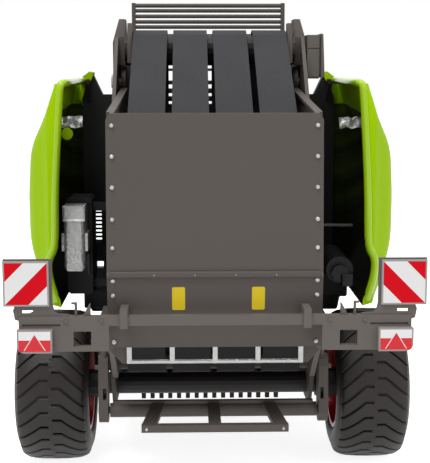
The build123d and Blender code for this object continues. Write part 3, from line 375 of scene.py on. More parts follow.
# the height in mm below which the belts carry painted shade, and how much of their tone is left
SHADE_BELOW, SHADED_TONE = 50, 0.13
weave_tree, given, out = start_group("belt_ribs", [("Pitch", "Float", RIB_PITCH * MM)],
                                     [("Height", "Float"), ("Tone", "Float")])
x, y, z, point = place_of(weave_tree)
run = calc(weave_tree, "MULTIPLY_ADD", y, BELT_RISE, z)
turn = calc(weave_tree, "DIVIDE", 2 * math.pi, given["Pitch"])
across = calc(weave_tree, "SINE", calc(weave_tree, "MULTIPLY", x, turn))
along = calc(weave_tree, "SINE", calc(weave_tree, "MULTIPLY", run, turn))
speck = add(weave_tree, "ShaderNodeTexNoise", {"Vector": point, "Scale": SPECK_SCALE}).outputs[0]
ribs = calc(weave_tree, "MULTIPLY_ADD", calc(weave_tree, "MULTIPLY", across, along), 0.5, speck)
weave_tree.links.new(ribs, out["Height"])
tone = calc(weave_tree, "MULTIPLY_ADD", ribs, RIB_TONE, BELT_TONE)
# below this height the belt's tone is cut down: a painted shade low in the chamber
high = calc(weave_tree, "GREATER_THAN", z, SHADE_BELOW * MM)
depth = calc(weave_tree, "MULTIPLY_ADD", high, 1 - SHADED_TONE, SHADED_TONE)
tone = calc(weave_tree, "MULTIPLY", tone, depth)
weave_tree.links.new(tone, out["Tone"])


def rib_belt(tree, skin, shader, bump):
    ribs = add(tree, "ShaderNodeGroup", node_tree=weave_tree)
    shade = add(tree, "ShaderNodeHueSaturation", {"Color": skin.outputs["Color"],
                                                  "Value": ribs.outputs["Tone"]})
    tree.links.new(shade.outputs[0], shader.inputs["Base Color"])
    tree.links.new(ribs.outputs["Height"], bump.inputs["Height"])


# %% [markdown]
# Silver-painted pieces look slightly crumpled, as thick paint over a rough moulding does. The
# folds are a distorted noise about a millimetre and a half long, used as a strong bump.

# %% Crumpled silver
crumple_tree, given, out = start_group("crumpled", [("Size", "Float", 700.0)], [("Height", "Float")])
point = place_of(crumple_tree)[3]
folds = add(crumple_tree, "ShaderNodeTexNoise",
            {"Vector": point, "Scale": given["Size"], "Detail": 2.0, "Distortion": 1.5}).outputs[0]
crumple_tree.links.new(folds, out["Height"])


def crumple(tree, skin, shader, bump):
    folds = add(tree, "ShaderNodeGroup", node_tree=crumple_tree)
    tree.links.new(folds.outputs["Height"], bump.inputs["Height"])


# %% [markdown]
# The boards carry broad slanted stripes, red and white, that rise towards the machine on the
# left and mirror on the right. Seen from either side the stripe depends only on height plus
# distance from the middle, so one sum and one remainder draw them on both boards.

# %% Slanted stripes
STRIPE, STRIPE_ZERO = 4.2, 79.2
BOARD_X, BOARD_Z, BOARD_HALF = 34.0, 45.2, 4.1
stripe_tree, given, out = start_group("slanted_stripes", [("Rim", "Float", 0.3 * MM)],
                                      [("Red", "Float"), ("Rim", "Float")])
x, _, z, _ = place_of(stripe_tree)
across = calc(stripe_tree, "ABSOLUTE", x)
slant = calc(stripe_tree, "SUBTRACT", calc(stripe_tree, "ADD", across, z), STRIPE_ZERO * MM)
count = calc(stripe_tree, "FLOOR", calc(stripe_tree, "DIVIDE", slant, STRIPE * MM))
red = calc(stripe_tree, "GREATER_THAN", calc(stripe_tree, "FLOORED_MODULO", count, 2.0), 0.5)
off_x = calc(stripe_tree, "ABSOLUTE", calc(stripe_tree, "SUBTRACT", across, BOARD_X * MM))
off_z = calc(stripe_tree, "ABSOLUTE", calc(stripe_tree, "SUBTRACT", z, BOARD_Z * MM))
reach = calc(stripe_tree, "MAXIMUM", off_x, off_z)
limit = calc(stripe_tree, "SUBTRACT", BOARD_HALF * MM, given["Rim"])
rim = calc(stripe_tree, "GREATER_THAN", reach, limit)
stripe_tree.links.new(red, out["Red"])
stripe_tree.links.new(rim, out["Rim"])

SIGN_RED = (0.76, 0.003, 0.012, 1)
SIGN_WHITE = (0.92, 0.92, 0.92, 1)


def print_stripes(tree, skin, shader, bump):
    stripes = add(tree, "ShaderNodeGroup", node_tree=stripe_tree)
    colors = blend_colors(tree, stripes.outputs["Red"], SIGN_WHITE, SIGN_RED)
    colors = blend_colors(tree, stripes.outputs["Rim"], colors, skin.outputs["Color"])
    tree.links.new(colors, shader.inputs["Base Color"])


# %% [markdown]
# Each lamp is white above and red below, with a red triangle that has a thin white outline.
# The triangle is the place where the distance from the lamp's middle is less than what is
# left of the height up to its tip.

# %% Lamp face
LAMP_X, LAMP_HALF, LAMP_LOW, LAMP_TALL, LAMP_RIM = 32.55, 3.15, 32.7, 4.3, 0.3
# parts of the lamp's height, and the triangle's half width for each mm below its tip
TIP, FOOT, RED_TOP, SPREAD = 0.8, 0.12, 0.56, 0.62
lamp_tree, given, out = start_group("lamp_face", [("Outline", "Float", 0.16 * MM)],
                                    [("Red", "Float"), ("Rim", "Float")])
x, _, z, _ = place_of(lamp_tree)
off = calc(lamp_tree, "ABSOLUTE", calc(lamp_tree, "SUBTRACT", calc(lamp_tree, "ABSOLUTE", x), LAMP_X * MM))
height = calc(lamp_tree, "SUBTRACT", z, LAMP_LOW * MM)
left_over = calc(lamp_tree, "SUBTRACT", TIP * LAMP_TALL * MM, height)
half = calc(lamp_tree, "MULTIPLY", left_over, SPREAD)
above = calc(lamp_tree, "GREATER_THAN", height, FOOT * LAMP_TALL * MM)
triangle = both(lamp_tree, above, calc(lamp_tree, "LESS_THAN", off, half))
wide = calc(lamp_tree, "ADD", half, given["Outline"])
outline = both(lamp_tree, above, calc(lamp_tree, "LESS_THAN", off, wide))
lower = calc(lamp_tree, "LESS_THAN", height, RED_TOP * LAMP_TALL * MM)
red = either(lamp_tree, triangle, calc(lamp_tree, "SUBTRACT", lower, outline))
rim = calc(lamp_tree, "GREATER_THAN", off, (LAMP_HALF - LAMP_RIM) * MM)
rim_top = calc(lamp_tree, "GREATER_THAN", height, (LAMP_TALL - LAMP_RIM) * MM)
rim_low = calc(lamp_tree, "LESS_THAN", height, LAMP_RIM * MM)
lamp_tree.links.new(red, out["Red"])
lamp_tree.links.new(either(lamp_tree, rim, rim_top, rim_low), out["Rim"])


def print_lamp(tree, skin, shader, bump):
    face = add(tree, "ShaderNodeGroup", node_tree=lamp_tree)
    colors = blend_colors(tree, face.outputs["Red"], SIGN_WHITE, SIGN_RED)
    colors = blend_colors(tree, face.outputs["Rim"], colors, skin.outputs["Color"])
    tree.links.new(colors, shader.inputs["Base Color"])


# %% [markdown]
# Now every slot of the record gets its finish, and every piece of the model the finish of its
# slot. Roughness sets the sheen: low for glossy lime and red, high for rubber. The light bar
# and the small box on top get a slightly paler copy of the body grey: painted light, for the
# light from above that their upper faces catch.

# %% Finishes
# colour, roughness, drift of the tone, grains in a metre, grain height in mm, and what else differs
FINISHES = {
    "body_grey": ((0.100, 0.086, 0.078), 0.55, 0.10, 2600.0, 0.02, {}),
    # a paler copy of the body grey: painted light, for the light from above on the light bar and top box
    "bar_grey": ((0.140, 0.124, 0.112), 0.5, 0.10, 2600.0, 0.02, {}),
    "frame_grey": ((0.020, 0.017, 0.016), 0.5, 0.15, 2600.0, 0.02, {}),
    "cover_green": (LIME, 0.34, 0.05, 900.0, 0.01, {"shine": 0.04, "extra": line_and_shade_cover}),
    "rim_red": ((0.62, 0.008, 0.022), 0.28, 0.08, 1200.0, 0.01, {"coat": 0.1}),
    "tyre_rubber": ((0.017, 0.0135, 0.012), 0.48, 0.35, 1500.0, 0.07, {"shine": 0.32}),
    "belt_rubber": ((0.040, 0.040, 0.043), 0.8, 0.12, 1500.0, 0.04, {"extra": rib_belt}),
    "bright_metal": ((0.50, 0.50, 0.49), 0.36, 0.16, 1500.0, 0.45, {"metal": 0.5, "extra": crumple}),
    "black_plastic": ((0.009, 0.009, 0.009), 0.55, 0.3, 2000.0, 0.03, {}),
    "housing_grey": ((0.105, 0.093, 0.085), 0.55, 0.12, 2400.0, 0.02, {"extra": paint_housing_shade}),
    "board_print": ((0.40, 0.39, 0.38), 0.45, 0.06, 3000.0, 0.01,
                    {"shine": 0.1, "extra": print_stripes}),
    "lamp_print": ((0.36, 0.30, 0.30), 0.22, 0.05, 1500.0, 0.01, {"coat": 0.2, "extra": print_lamp}),
    "lime_bead": (LIME, 0.16, 0.04, 900.0, 0.01, {"coat": 0.35}),
    "label_yellow": ((0.88, 0.65, 0.02), 0.5, 0.06, 3000.0, 0.01, {}),
}
finishes = {name: moulded(name, *row, **more) for name, (*row, more) in FINISHES.items()}
finish_of = {s["node"]: s["material_slot"] for s in frame["record"]["subparts"]}
# the light bar and the top box take the paler grey, painted light from above
finish_of.update({"light_bar": "bar_grey", "top_box": "bar_grey"})
for name, obj in nodes.items():
    obj.data.materials.clear()
    obj.data.materials.append(finishes[finish_of[name]])
print(len(finishes), "finishes on", len(nodes), "pieces")

# %% [markdown]
# The small pieces are modelled as by hand: a primitive at its place and size, shaped in edit
# mode, finished by a modifier. These helpers hold the steps that every piece repeats. Each
# piece ends at the origin with its place in its mesh, as the construction's pieces do.


# %% Helpers that start a piece
def clear():
    if bpy.context.object and bpy.context.object.mode != "OBJECT":
        bpy.ops.object.mode_set(mode="OBJECT")
    bpy.ops.object.select_all(action="DESELECT")


def choose(obj):
    """Selects one object alone and makes it the active one."""
    clear()
    obj.select_set(True)
    bpy.context.view_layer.objects.active = obj


def settle(obj):
    """Puts the object's place, turn and size into its mesh."""
    choose(obj)
    bpy.ops.object.transform_apply(location=True, rotation=True, scale=True)
    return obj


def start_block(name, low, high):
    """A block between two corners in mm from the axle."""
    clear()
    middle = [(a + b) / 2 for a, b in zip(low, high)]
    bpy.ops.mesh.primitive_cube_add(size=1, location=at(*middle))
    obj = bpy.context.object
    obj.name = name
    obj.scale = [(b - a) * MM for a, b in zip(low, high)]
    return settle(obj)


def start_side_block(name, side, near, far, low, high):
    """A block on one side, between two distances from the middle and two (y, z) corners."""
    x0, x1 = sorted((side * near, side * far))
    return start_block(name, (x0, *low), (x1, *high))


def start_round(name, start, end, radius, sides):
    """A round bar from one place to another in mm from the axle."""
    clear()
    run = at(*end) - at(*start)
    bpy.ops.mesh.primitive_cylinder_add(vertices=sides, radius=radius * MM, depth=run.length,
                                        location=(at(*start) + at(*end)) / 2)
    obj = bpy.context.object
    obj.name = name
    obj.rotation_euler = run.to_track_quat("Z", "Y").to_euler()
    return settle(obj)


# %% [markdown]
# In edit mode a step is always the same: faces or edges are chosen by their place or normal,
# and then inset, extruded or moved. Lengths are in mm.


# %% Helpers for edit mode
def edit(obj):
    choose(obj)
    bpy.ops.object.mode_set(mode="EDIT")
    bpy.ops.mesh.select_all(action="DESELECT")


def close_edit():
    bpy.ops.object.mode_set(mode="OBJECT")


def pick(obj, kind, test):
    """Selects the faces, edges or verts that pass a test."""
    bpy.ops.mesh.select_mode(type={"faces": "FACE", "edges": "EDGE", "verts": "VERT"}[kind])
    bpy.ops.mesh.select_all(action="DESELECT")
    mesh = bmesh.from_edit_mesh(obj.data)
    for part in getattr(mesh, kind):
        if test(part):
            part.select_set(True)
    mesh.select_flush_mode()
    bmesh.update_edit_mesh(obj.data)


def in_metres(way):
    return tuple(part * MM for part in way)


def inset(rim):
    bpy.ops.mesh.inset(thickness=rim * MM, depth=0)


def move(*way):
    bpy.ops.transform.translate(value=in_metres(way))


def extrude(*way):
    bpy.ops.mesh.extrude_region_move(TRANSFORM_OT_translate={"value": in_metres(way)})


def mend(merge=0.002):
    """Merges points that fall together, unless merge is 0, and turns all faces outwards."""
    bpy.ops.mesh.select_all(action="SELECT")
    if merge:
        bpy.ops.mesh.remove_doubles(threshold=merge * MM)
    bpy.ops.mesh.normals_make_consistent(inside=False)


def runs_along_y(edge):
    return abs((edge.verts[0].co - edge.verts[1].co).normalized().y) > 0.9


# %% [markdown]
# A modifier is set and applied at once. Copies get meshes of their own, and what stands on
# both sides is modelled on the right and mirrored. The last helpers give a finished piece its
# finish, its shading and the body it rides on.

# %% Helpers that finish a piece
ACROSS = Matrix.Scale(-1, 4, (1, 0, 0))


def modify(obj, kind, **settings):
    """Adds a modifier, sets it and applies it."""
    choose(obj)
    modifier = obj.modifiers.new(kind.lower(), kind)
    for name, value in settings.items():
        setattr(modifier, name, value)
    bpy.ops.object.modifier_apply(modifier=modifier.name)
    return obj


def soften(obj, width, segments=2):
    """Rounds the sharp edges by a bevel of that width in mm."""
    return modify(obj, "BEVEL", width=width * MM, segments=segments, limit_method="ANGLE")


def copy_at(obj, matrices):
    """Copies of the object, each with its own mesh, moved by each matrix."""
    copies = []
    for matrix in matrices:
        copy = obj.copy()
        copy.data = obj.data.copy()
        copy.data.transform(matrix)
        if matrix.determinant() < 0:
            copy.data.flip_normals()
        bpy.context.scene.collection.objects.link(copy)
        copies.append(copy)
    return copies


def join(name, objects):
    clear()
    for obj in objects:
        obj.select_set(True)
    bpy.context.view_layer.objects.active = objects[0]
    bpy.ops.object.join()
    made = bpy.context.object
    made.name = name
    made.data.name = name
    return made


def drop(obj):
    bpy.data.objects.remove(obj, do_unlink=True)


def deliver(obj, slot, body, finish=None, angle=35):
    """Gives a finished piece its finish, its shading and the body it rides on."""
    obj.data.materials.clear()
    obj.data.materials.append(finishes[finish or slot])
    choose(obj)
    bpy.ops.object.shade_smooth_by_angle(angle=math.radians(angle))
    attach(obj, body)
    print(obj.name, len(obj.data.polygons), "faces, rides on", body)


def deliver_pair(right, slot, body, finish=None, angle=35, stands_for=None):
    """Delivers a right-hand piece and its mirror image; a body that ends in _ gets the side."""
    left = copy_at(right, [ACROSS])[0]
    left.name = right.name.replace("_right", "_left")
    for side, piece in (("left", left), ("right", right)):
        deliver(piece, slot, body + side if body.endswith("_") else body, finish, angle)
        if stands_for:
            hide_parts(stands_for + side)


def shift(x, y, z):
    return Matrix.Translation(in_metres((x, y, z)))


def turn_about(centre, angle):
    """A turn about the line across the machine through a place."""
    return Matrix.Translation(centre) @ Matrix.Rotation(angle, 4, "X") @ Matrix.Translation(-centre)


def value_along(rows, place):
    """The value at a place on rows of (place, value), straight in between."""
    for (a, value_a), (b, value_b) in zip(rows, rows[1:]):
        if place <= b:
            return value_a + (value_b - value_a) * max(0.0, place - a) / (b - a)
    return rows[-1][1]


# %% [markdown]
# A flotation tyre has a smooth round carcass and two rows of slanted lugs, the right row half
# a step behind the left. The carcass is one cross-section spun about the axle. One lug is
# drawn flat: a strip that runs straight from the middle and then slants, pushed out, with its
# top inset. It is then wrapped on the carcass and copied round.

# %% Tyre sizes
TYRE_X, AXLE_Z = 33.15, 16.0
# x from the tyre's middle and radius, from the bead over the side wall to the crown
TYRE_SECTION = [(6.5, 9.9), (7.15, 10.35), (7.5, 11.1), (7.6, 12.0), (7.5, 12.9), (7.2, 13.7),
                (6.7, 14.35), (6.0, 14.8), (5.0, 15.1), (3.5, 15.25), (1.8, 15.32)]
# the same line outwards from the tyre's middle to its widest place, for the lugs to lie on
LUG_BED = [(0.0, 15.33)] + TYRE_SECTION[:2:-1]
TYRE_STEPS = 120
LUGS = 30
LUG_WIDE, LUG_TALL, LUG_BEVEL, LUG_SUNK = 2.78, 0.48, 0.16, 0.3
# x from the middle of the tyre along one lug, and how far it has dropped there
LUG_RUN = [(-0.5, 0.0), (0.8, 0.0), (2.1, 0.0), (3.3, -0.97), (4.5, -1.94), (5.6, -2.83), (6.4, -3.5),
           (6.9, -3.85)]


# %% Carcass
def spin_section(name, section, steps):
    """A solid ring about the axle from a closed row of x and radius."""
    clear()
    bpy.ops.mesh.primitive_circle_add(vertices=len(section), radius=MM, location=(0, 0, 0))
    obj = bpy.context.object
    obj.name = name
    for vertex, (x, radius) in zip(obj.data.vertices, section):
        vertex.co = at(TYRE_X + x, 0, AXLE_Z + radius)
    edit(obj)
    bpy.ops.mesh.select_all(action="SELECT")
    bpy.ops.mesh.spin(steps=steps, angle=2 * math.pi, center=at(0, 0, AXLE_Z), axis=(1, 0, 0))
    mend()
    close_edit()
    return obj


ring_section = TYRE_SECTION + [(-x, r) for x, r in reversed(TYRE_SECTION)]
carcass = spin_section("carcass", ring_section, TYRE_STEPS)
print("carcass", len(carcass.data.polygons), "faces")


# %% One lug, drawn flat and then wrapped
def flat_lug():
    """The strip in metres: x across, z round the tyre and -y outwards."""
    clear()
    bpy.ops.mesh.primitive_plane_add(size=1, location=(0, 0, 0))
    lug = bpy.context.object
    lug.name = "lug"
    (x0, drop0), (x1, drop1) = LUG_RUN[:2]
    half = LUG_WIDE / 2
    corners = [(x0, drop0 - half), (x1, drop1 - half), (x0, drop0 + half), (x1, drop1 + half)]
    for vertex, (x, z) in zip(lug.data.vertices, corners):
        vertex.co = (x * MM, 0, z * MM)
    edit(lug)
    for (xa, drop_a), (xb, drop_b) in zip(LUG_RUN[1:], LUG_RUN[2:]):
        pick(lug, "edges", lambda e: all(abs(v.co.x - xa * MM) < MM / 1000 for v in e.verts))
        extrude(xb - xa, 0, drop_b - drop_a)
    bpy.ops.mesh.select_mode(type="FACE")
    mend(merge=0)
    extrude(0, -LUG_TALL, 0)
    pick(lug, "faces", lambda f: all(v.co.y < -0.9 * LUG_TALL * MM for v in f.verts))
    inset(LUG_BEVEL)
    move(0, -LUG_BEVEL, 0)
    mend(merge=0)
    close_edit()
    return lug


def wrap(obj):
    """Lays a flat lug on the carcass, its foot sunk in a little."""
    for vertex in obj.data.vertices:
        x, out_by, round_by = vertex.co.x / MM, -vertex.co.y / MM, vertex.co.z / MM
        radius = value_along(LUG_BED, abs(x)) + (out_by if out_by > 0.01 else -LUG_SUNK)
        turn = round_by / LUG_BED[0][1]
        vertex.co = at(TYRE_X + x, -radius * math.cos(turn), AXLE_Z + radius * math.sin(turn))


lug = flat_lug()
wrap(lug)
tyre_middle = at(TYRE_X, 0, AXLE_Z)
other_row = shift(2 * TYRE_X, 0, 0) @ ACROSS
step = 2 * math.pi / LUGS
lugs = copy_at(lug, [turn_about(tyre_middle, i * step) for i in range(LUGS)])
lugs += copy_at(lug, [turn_about(tyre_middle, (i + 0.5) * step) @ other_row for i in range(LUGS)])
drop(lug)
tyre = join("fine_tyre_right", [carcass, *lugs])
deliver_pair(tyre, "tyre_rubber", "wheel_", stands_for="tyre_")

# %% [markdown]
# The rim is a red ring with a rolled flange at the tyre's bead and a dished disc. It is spun
# in the same way, in finer steps than the construction needs, so that its edge reads round.

# %% Rims
RIM_STEPS = 72
RIM_SECTION = [(3.05, 1.56), (4.05, 1.56), (4.3, 4.0), (5.2, 9.0), (7.0, 9.0), (7.05, 9.85), (6.5, 9.88),
               (5.6, 9.6), (-5.6, 9.6), (-6.5, 9.88), (-7.05, 9.85), (-7.0, 9.0), (-5.4, 8.8),
               (2.6, 8.8), (3.25, 4.0)]
rim = spin_section("fine_rim_right", RIM_SECTION, RIM_STEPS)
deliver_pair(rim, "rim_red", "wheel_", stands_for="rim_")

# %% [markdown]
# Round-headed screws hold the tailgate's panel along both edges, and rivets its crease. One
# head is a low cylinder with its outer edge rounded; the rest are copies. The panel leans
# back to its crease and forward again below it, and the heads follow it.

# %% Screw heads
HEAD_SIDES = 14
HEAD_RIM = 0.3              # part of the radius that each step of the dome is set in
DOME = (0.45, 0.2)          # parts of the height that the dome's steps rise
PANEL_TOP_Y, PANEL_TOP_Z = -30.6, 75.3
CREASE_Y, CREASE_HIGH_Z, CREASE_LOW_Z = -33.0, 46.4, 45.2
PANEL_FOOT_Y, PANEL_FOOT_Z = -31.6, 32.0
EDGE_X = 18.75
EDGE_Z = [73.1, 67.5, 61.9, 56.1, 50.9, 44.9, 42.1, 33.1]
CREASE_X = [-11.2, -3.73, 3.73, 11.2]
BAR_XZ = [(20.6, 38.3), (27.0, 38.2)]
SIDES = (-1, 1)


def make_head(radius, tall):
    """A domed head at the origin that looks backwards, along -y."""
    clear()
    bpy.ops.mesh.primitive_cylinder_add(vertices=HEAD_SIDES, radius=radius * MM, depth=tall * MM,
                                        location=(0, 0, 0))
    head = bpy.context.object
    head.rotation_euler = (math.pi / 2, 0, 0)
    settle(head)
    edit(head)
    pick(head, "faces", lambda f: f.normal.y < -0.9)
    for rise in DOME:
        inset(radius * HEAD_RIM)
        move(0, -tall * rise, 0)
    close_edit()
    return head


def set_heads(name, radius, tall, places, slot, body, finish=None):
    """One head, copied to its places in mm from the axle and joined."""
    head = make_head(radius, tall)
    heads = copy_at(head, [Matrix.Translation(at(*p)) for p in places])
    drop(head)
    deliver(join(name, heads), slot, body, finish, 60)


def panel_y(z):
    """How far back the tailgate's panel is at a height."""
    if z > CREASE_HIGH_Z:
        part = (PANEL_TOP_Z - z) / (PANEL_TOP_Z - CREASE_HIGH_Z)
        return PANEL_TOP_Y + (CREASE_Y - PANEL_TOP_Y) * part
    part = (CREASE_LOW_Z - z) / (CREASE_LOW_Z - PANEL_FOOT_Z)
    return CREASE_Y + (PANEL_FOOT_Y - CREASE_Y) * part


edge_places = [(side * EDGE_X, panel_y(z) - 0.1, z) for z in EDGE_Z for side in SIDES]
set_heads("panel_screws", 0.42, 0.36, edge_places, "bright_metal", "tailgate")
set_heads("crease_rivets", 0.24, 0.24, [(x, -33.35, 46.0) for x in CREASE_X], "bright_metal", "tailgate")
set_heads("post_screws", 0.42, 0.36, [(side * 21.0, 17.1, 82.6) for side in SIDES],
          "bright_metal", "chassis")
set_heads("bar_screws", 0.34, 0.3, [(side * x, -37.1, z) for side in SIDES for x, z in BAR_XZ],
          "body_grey", "tailgate", "bar_grey")

# %% [markdown]
# Two small labels sit low on the panel. They are thin yellow plates with rounded corners, and
# they stay blank.

# %% Labels
LABEL_X = (-6.75, 7.95)
LABEL_HALF, LABEL_THIN, LABEL_ROUND = 1.2, 0.06, 0.3
LABEL_LOW, LABEL_HIGH = 39.25, 43.65
lean = math.atan2(PANEL_FOOT_Y - CREASE_Y, CREASE_LOW_Z - PANEL_FOOT_Z)
label_mid = (LABEL_LOW + LABEL_HIGH) / 2
labels = []
for x in LABEL_X:
    label = start_block("label", (x - LABEL_HALF, -LABEL_THIN, LABEL_LOW),
                        (x + LABEL_HALF, LABEL_THIN, LABEL_HIGH))
    edit(label)
    pick(label, "edges", runs_along_y)
    bpy.ops.mesh.bevel(offset=LABEL_ROUND * MM, segments=3)
    close_edit()
    on_panel = shift(0, panel_y(label_mid) - LABEL_THIN / 2, 0)
    label.data.transform(on_panel @ turn_about(at(x, 0, label_mid), lean))
    labels.append(label)
deliver(join("blank_labels", labels), "body_grey", "tailgate", "label_yellow")

# %% [markdown]
# A side cover is a bright shell moulded in one: it bulges between its edges, and every edge
# turns inwards as a flange. A grid is laid over its side. Each inner point of the grid takes
# its distance from the middle from the cover's section and plan, whichever is nearer, with a
# soft change between them. The outermost ring of points is pulled inwards and makes the
# flanges. Thickness and rounded edges come from modifiers.

# %% Shape of a side cover
COVER_Y0, COVER_Y1, COVER_Z0, COVER_Z1 = -6.0, 37.0, 34.0, 80.8
COVER_STEPS = 44
COVER_WALL, COVER_ROUND = 0.75, 0.22
# distance from the middle by height, by length, and the inner edge of the rear flange by height
SECTION = [(34.0, 33.4), (35.5, 34.8), (46.8, 39.0), (57.0, 39.1), (66.8, 38.2), (73.9, 34.4), (77.5, 32.9),
           (80.8, 31.6)]
PLAN = [(-6.0, 33.0), (2.5, 39.9), (27.0, 39.3), (37.0, 33.2)]
REAR_RIM = [(34.0, 31.5), (35.4, 31.6), (38.0, 32.7), (41.0, 33.4), (44.0, 33.6), (47.0, 31.9), (57.0, 31.8),
            (70.0, 31.0), (80.8, 30.3)]
SECTION_EVEN, PLAN_EVEN, SOFT_MEET, LEAST_FLANGE = 2.4, 2.6, 0.45, 0.9
# inner edges of the front and top flanges; over the corner piece of the housing both stay clear
FRONT_IN, TOP_IN, CLEAR_IN = 30.5, 30.3, 31.6
CORNER_FROM_Y, CORNER_FROM_Z = 28.5, 75.2
OUTERMOST = 0.499


def evened(rows, place, reach):
    """The value along rows, averaged over a reach, so that corners become curves."""
    steps = [place + reach * k / 3 for k in range(-3, 4)]
    low, high = rows[0][0], rows[-1][0]
    return sum(value_along(rows, min(max(s, low), high)) for s in steps) / len(steps)


def cover_side(y, z):
    """The distance of the cover's outside from the middle."""
    by_height, by_length = evened(SECTION, z, SECTION_EVEN), evened(PLAN, y, PLAN_EVEN)
    nearer = -SOFT_MEET * math.log(math.exp(-by_height / SOFT_MEET) + math.exp(-by_length / SOFT_MEET))
    return max(nearer, value_along(REAR_RIM, z) + LEAST_FLANGE)


def cover_point(a, b):
    """The place of a grid point; a runs forwards and b upwards, from -0.5 to 0.5."""
    inner = 0.5 - 0.5 / COVER_STEPS
    y = COVER_Y0 + (COVER_Y1 - COVER_Y0) * min(max(a / (2 * inner) + 0.5, 0), 1)
    z = COVER_Z0 + (COVER_Z1 - COVER_Z0) * min(max(b / (2 * inner) + 0.5, 0), 1)
    x = cover_side(y, z)
    if a < -OUTERMOST:
        x = value_along(REAR_RIM, z)
    elif a > OUTERMOST:
        x = CLEAR_IN if z > CORNER_FROM_Z else FRONT_IN
    if b > OUTERMOST:
        x = CLEAR_IN if y > CORNER_FROM_Y else TOP_IN
    elif b < -OUTERMOST:
        x = max(x, CLEAR_IN) if abs(a) > OUTERMOST else CLEAR_IN
    return at(x, y, z)


# %% Side covers
clear()
bpy.ops.mesh.primitive_grid_add(x_subdivisions=COVER_STEPS, y_subdivisions=COVER_STEPS, size=1,
                                location=(0, 0, 0))
cover = bpy.context.object
cover.name = "fine_cover_right"
for vertex in cover.data.vertices:
    vertex.co = cover_point(vertex.co.x, vertex.co.y)
edit(cover)
mend(merge=0)
close_edit()
if sum(face.normal.x * face.area for face in cover.data.polygons) < 0:
    cover.data.flip_normals()
modify(cover, "SOLIDIFY", thickness=COVER_WALL * MM, offset=-1)
soften(cover, COVER_ROUND)
deliver_pair(cover, "cover_green", "cover_", angle=40, stands_for="side_cover_")

# %% [markdown]
# The edge of each cover is rolled: a bright bead runs down its rear rim and, over the corner,
# forward along the top to the housing. A bead that turns a corner is easiest as a curve with
# a round bevel, which is then made a mesh. A thin plate on the chassis closes the corner
# between wing and cover.

# %% Rolled edges and corner backs
BEAD = 0.8
# x, y, z from the housing back over the corner and down the rear rim
BEAD_PATH = [(29.5, 28.6, 80.7), (29.6, 18.0, 80.6), (29.7, 6.0, 80.5), (29.9, -4.4, 80.5),
             (30.8, -5.6, 80.3), (31.1, -5.6, 77.5), (31.5, -5.6, 72.0), (31.9, -5.6, 66.0),
             (32.4, -5.6, 57.0), (32.5, -5.6, 50.0), (32.7, -5.6, 46.3), (34.1, -5.6, 44.0),
             (34.0, -5.6, 41.0), (33.3, -5.6, 38.0), (32.4, -5.5, 35.2)]
BACK_LOW, BACK_HIGH, BACK_ROUND = (28.9, 35.84, 75.0), (32.3, 36.06, 80.6), 1.4


def bead_along(name, path, radius):
    """A round bead along a smooth line through places in mm from the axle."""
    line = bpy.data.curves.new(name, "CURVE")
    line.dimensions = "3D"
    line.bevel_depth = radius * MM
    line.bevel_resolution = 5
    line.use_fill_caps = True
    spline = line.splines.new("NURBS")
    spline.points.add(len(path) - 1)
    for point, place in zip(spline.points, path):
        point.co = (*at(*place), 1)
    spline.order_u = 3
    spline.use_endpoint_u = True
    spline.resolution_u = 6
    obj = bpy.data.objects.new(name, line)
    bpy.context.scene.collection.objects.link(obj)
    choose(obj)
    bpy.ops.object.convert(target="MESH")
    made = bpy.context.object
    edit(made)
    mend()
    close_edit()
    return made


deliver_pair(bead_along("rolled_edge_right", BEAD_PATH, BEAD), "cover_green", "cover_", "lime_bead", 50)
back = start_block("corner_back_right", BACK_LOW, BACK_HIGH)
edit(back)
pick(back, "edges", lambda e: runs_along_y(e) and e.verts[0].co.z > 78 * MM and e.verts[0].co.x > 31 * MM)
bpy.ops.mesh.bevel(offset=BACK_ROUND * MM, segments=5)
close_edit()
deliver_pair(back, "cover_green", "chassis")

# %% [markdown]
# Inside each cover, close to its rolled rear edge, a crumpled silver bracket holds the end of
# the gas spring, and on the left it has a bright gusset. The bracket is a plate cut into a
# grid whose points are pushed in and out by a few waves, and then given its thickness.

# %% Cover brackets
PLATE_CUTS, PLATE_WALL = 10, 0.35
WAVE_OUT, WAVE_UP = 0.22, 0.12
# the lower inner and upper outer corners of each plate as (x, z)
BRACKETS = {"left": ((-32.6, 71.2), (-27.0, 73.5)), "right": ((27.0, 71.0), (32.6, 73.2))}


def crumpled_plate(name, low, high):
    """A thin uneven plate across the machine, above the axle, between two (x, z) corners."""
    clear()
    bpy.ops.mesh.primitive_plane_add(size=1, location=(0, 0, 0))
    plate = bpy.context.object
    plate.name = name
    width, tall = high[0] - low[0], high[1] - low[1]
    for vertex in plate.data.vertices:
        vertex.co = at(low[0] + (vertex.co.x + 0.5) * width, 0, low[1] + (vertex.co.y + 0.5) * tall)
    edit(plate)
    bpy.ops.mesh.select_all(action="SELECT")
    bpy.ops.mesh.subdivide(number_cuts=PLATE_CUTS)
    close_edit()
    for vertex in plate.data.vertices:
        a, b = vertex.co.x / MM, vertex.co.z / MM
        vertex.co.y += WAVE_OUT * MM * (math.sin(3.1 * a + b) + math.sin(2.3 * b - 1.7 * a))
        vertex.co.z += WAVE_UP * MM * math.sin(2.7 * a)
    return modify(plate, "SOLIDIFY", thickness=PLATE_WALL * MM)


for side, corners in BRACKETS.items():
    deliver(crumpled_plate("spring_bracket_" + side, *corners), "bright_metal", "cover_" + side)
gusset = start_round("spring_gusset_left", (-30.2, -0.4, 69.9), (-30.2, 0.6, 69.9), 1.3, 20)
deliver(soften(gusset, 0.25), "cover_green", "cover_left")

# %% [markdown]
# Below the control box and behind the canister sit black moulded blocks on the side walls.
# Both are blocks with an extruded step and rounded edges.

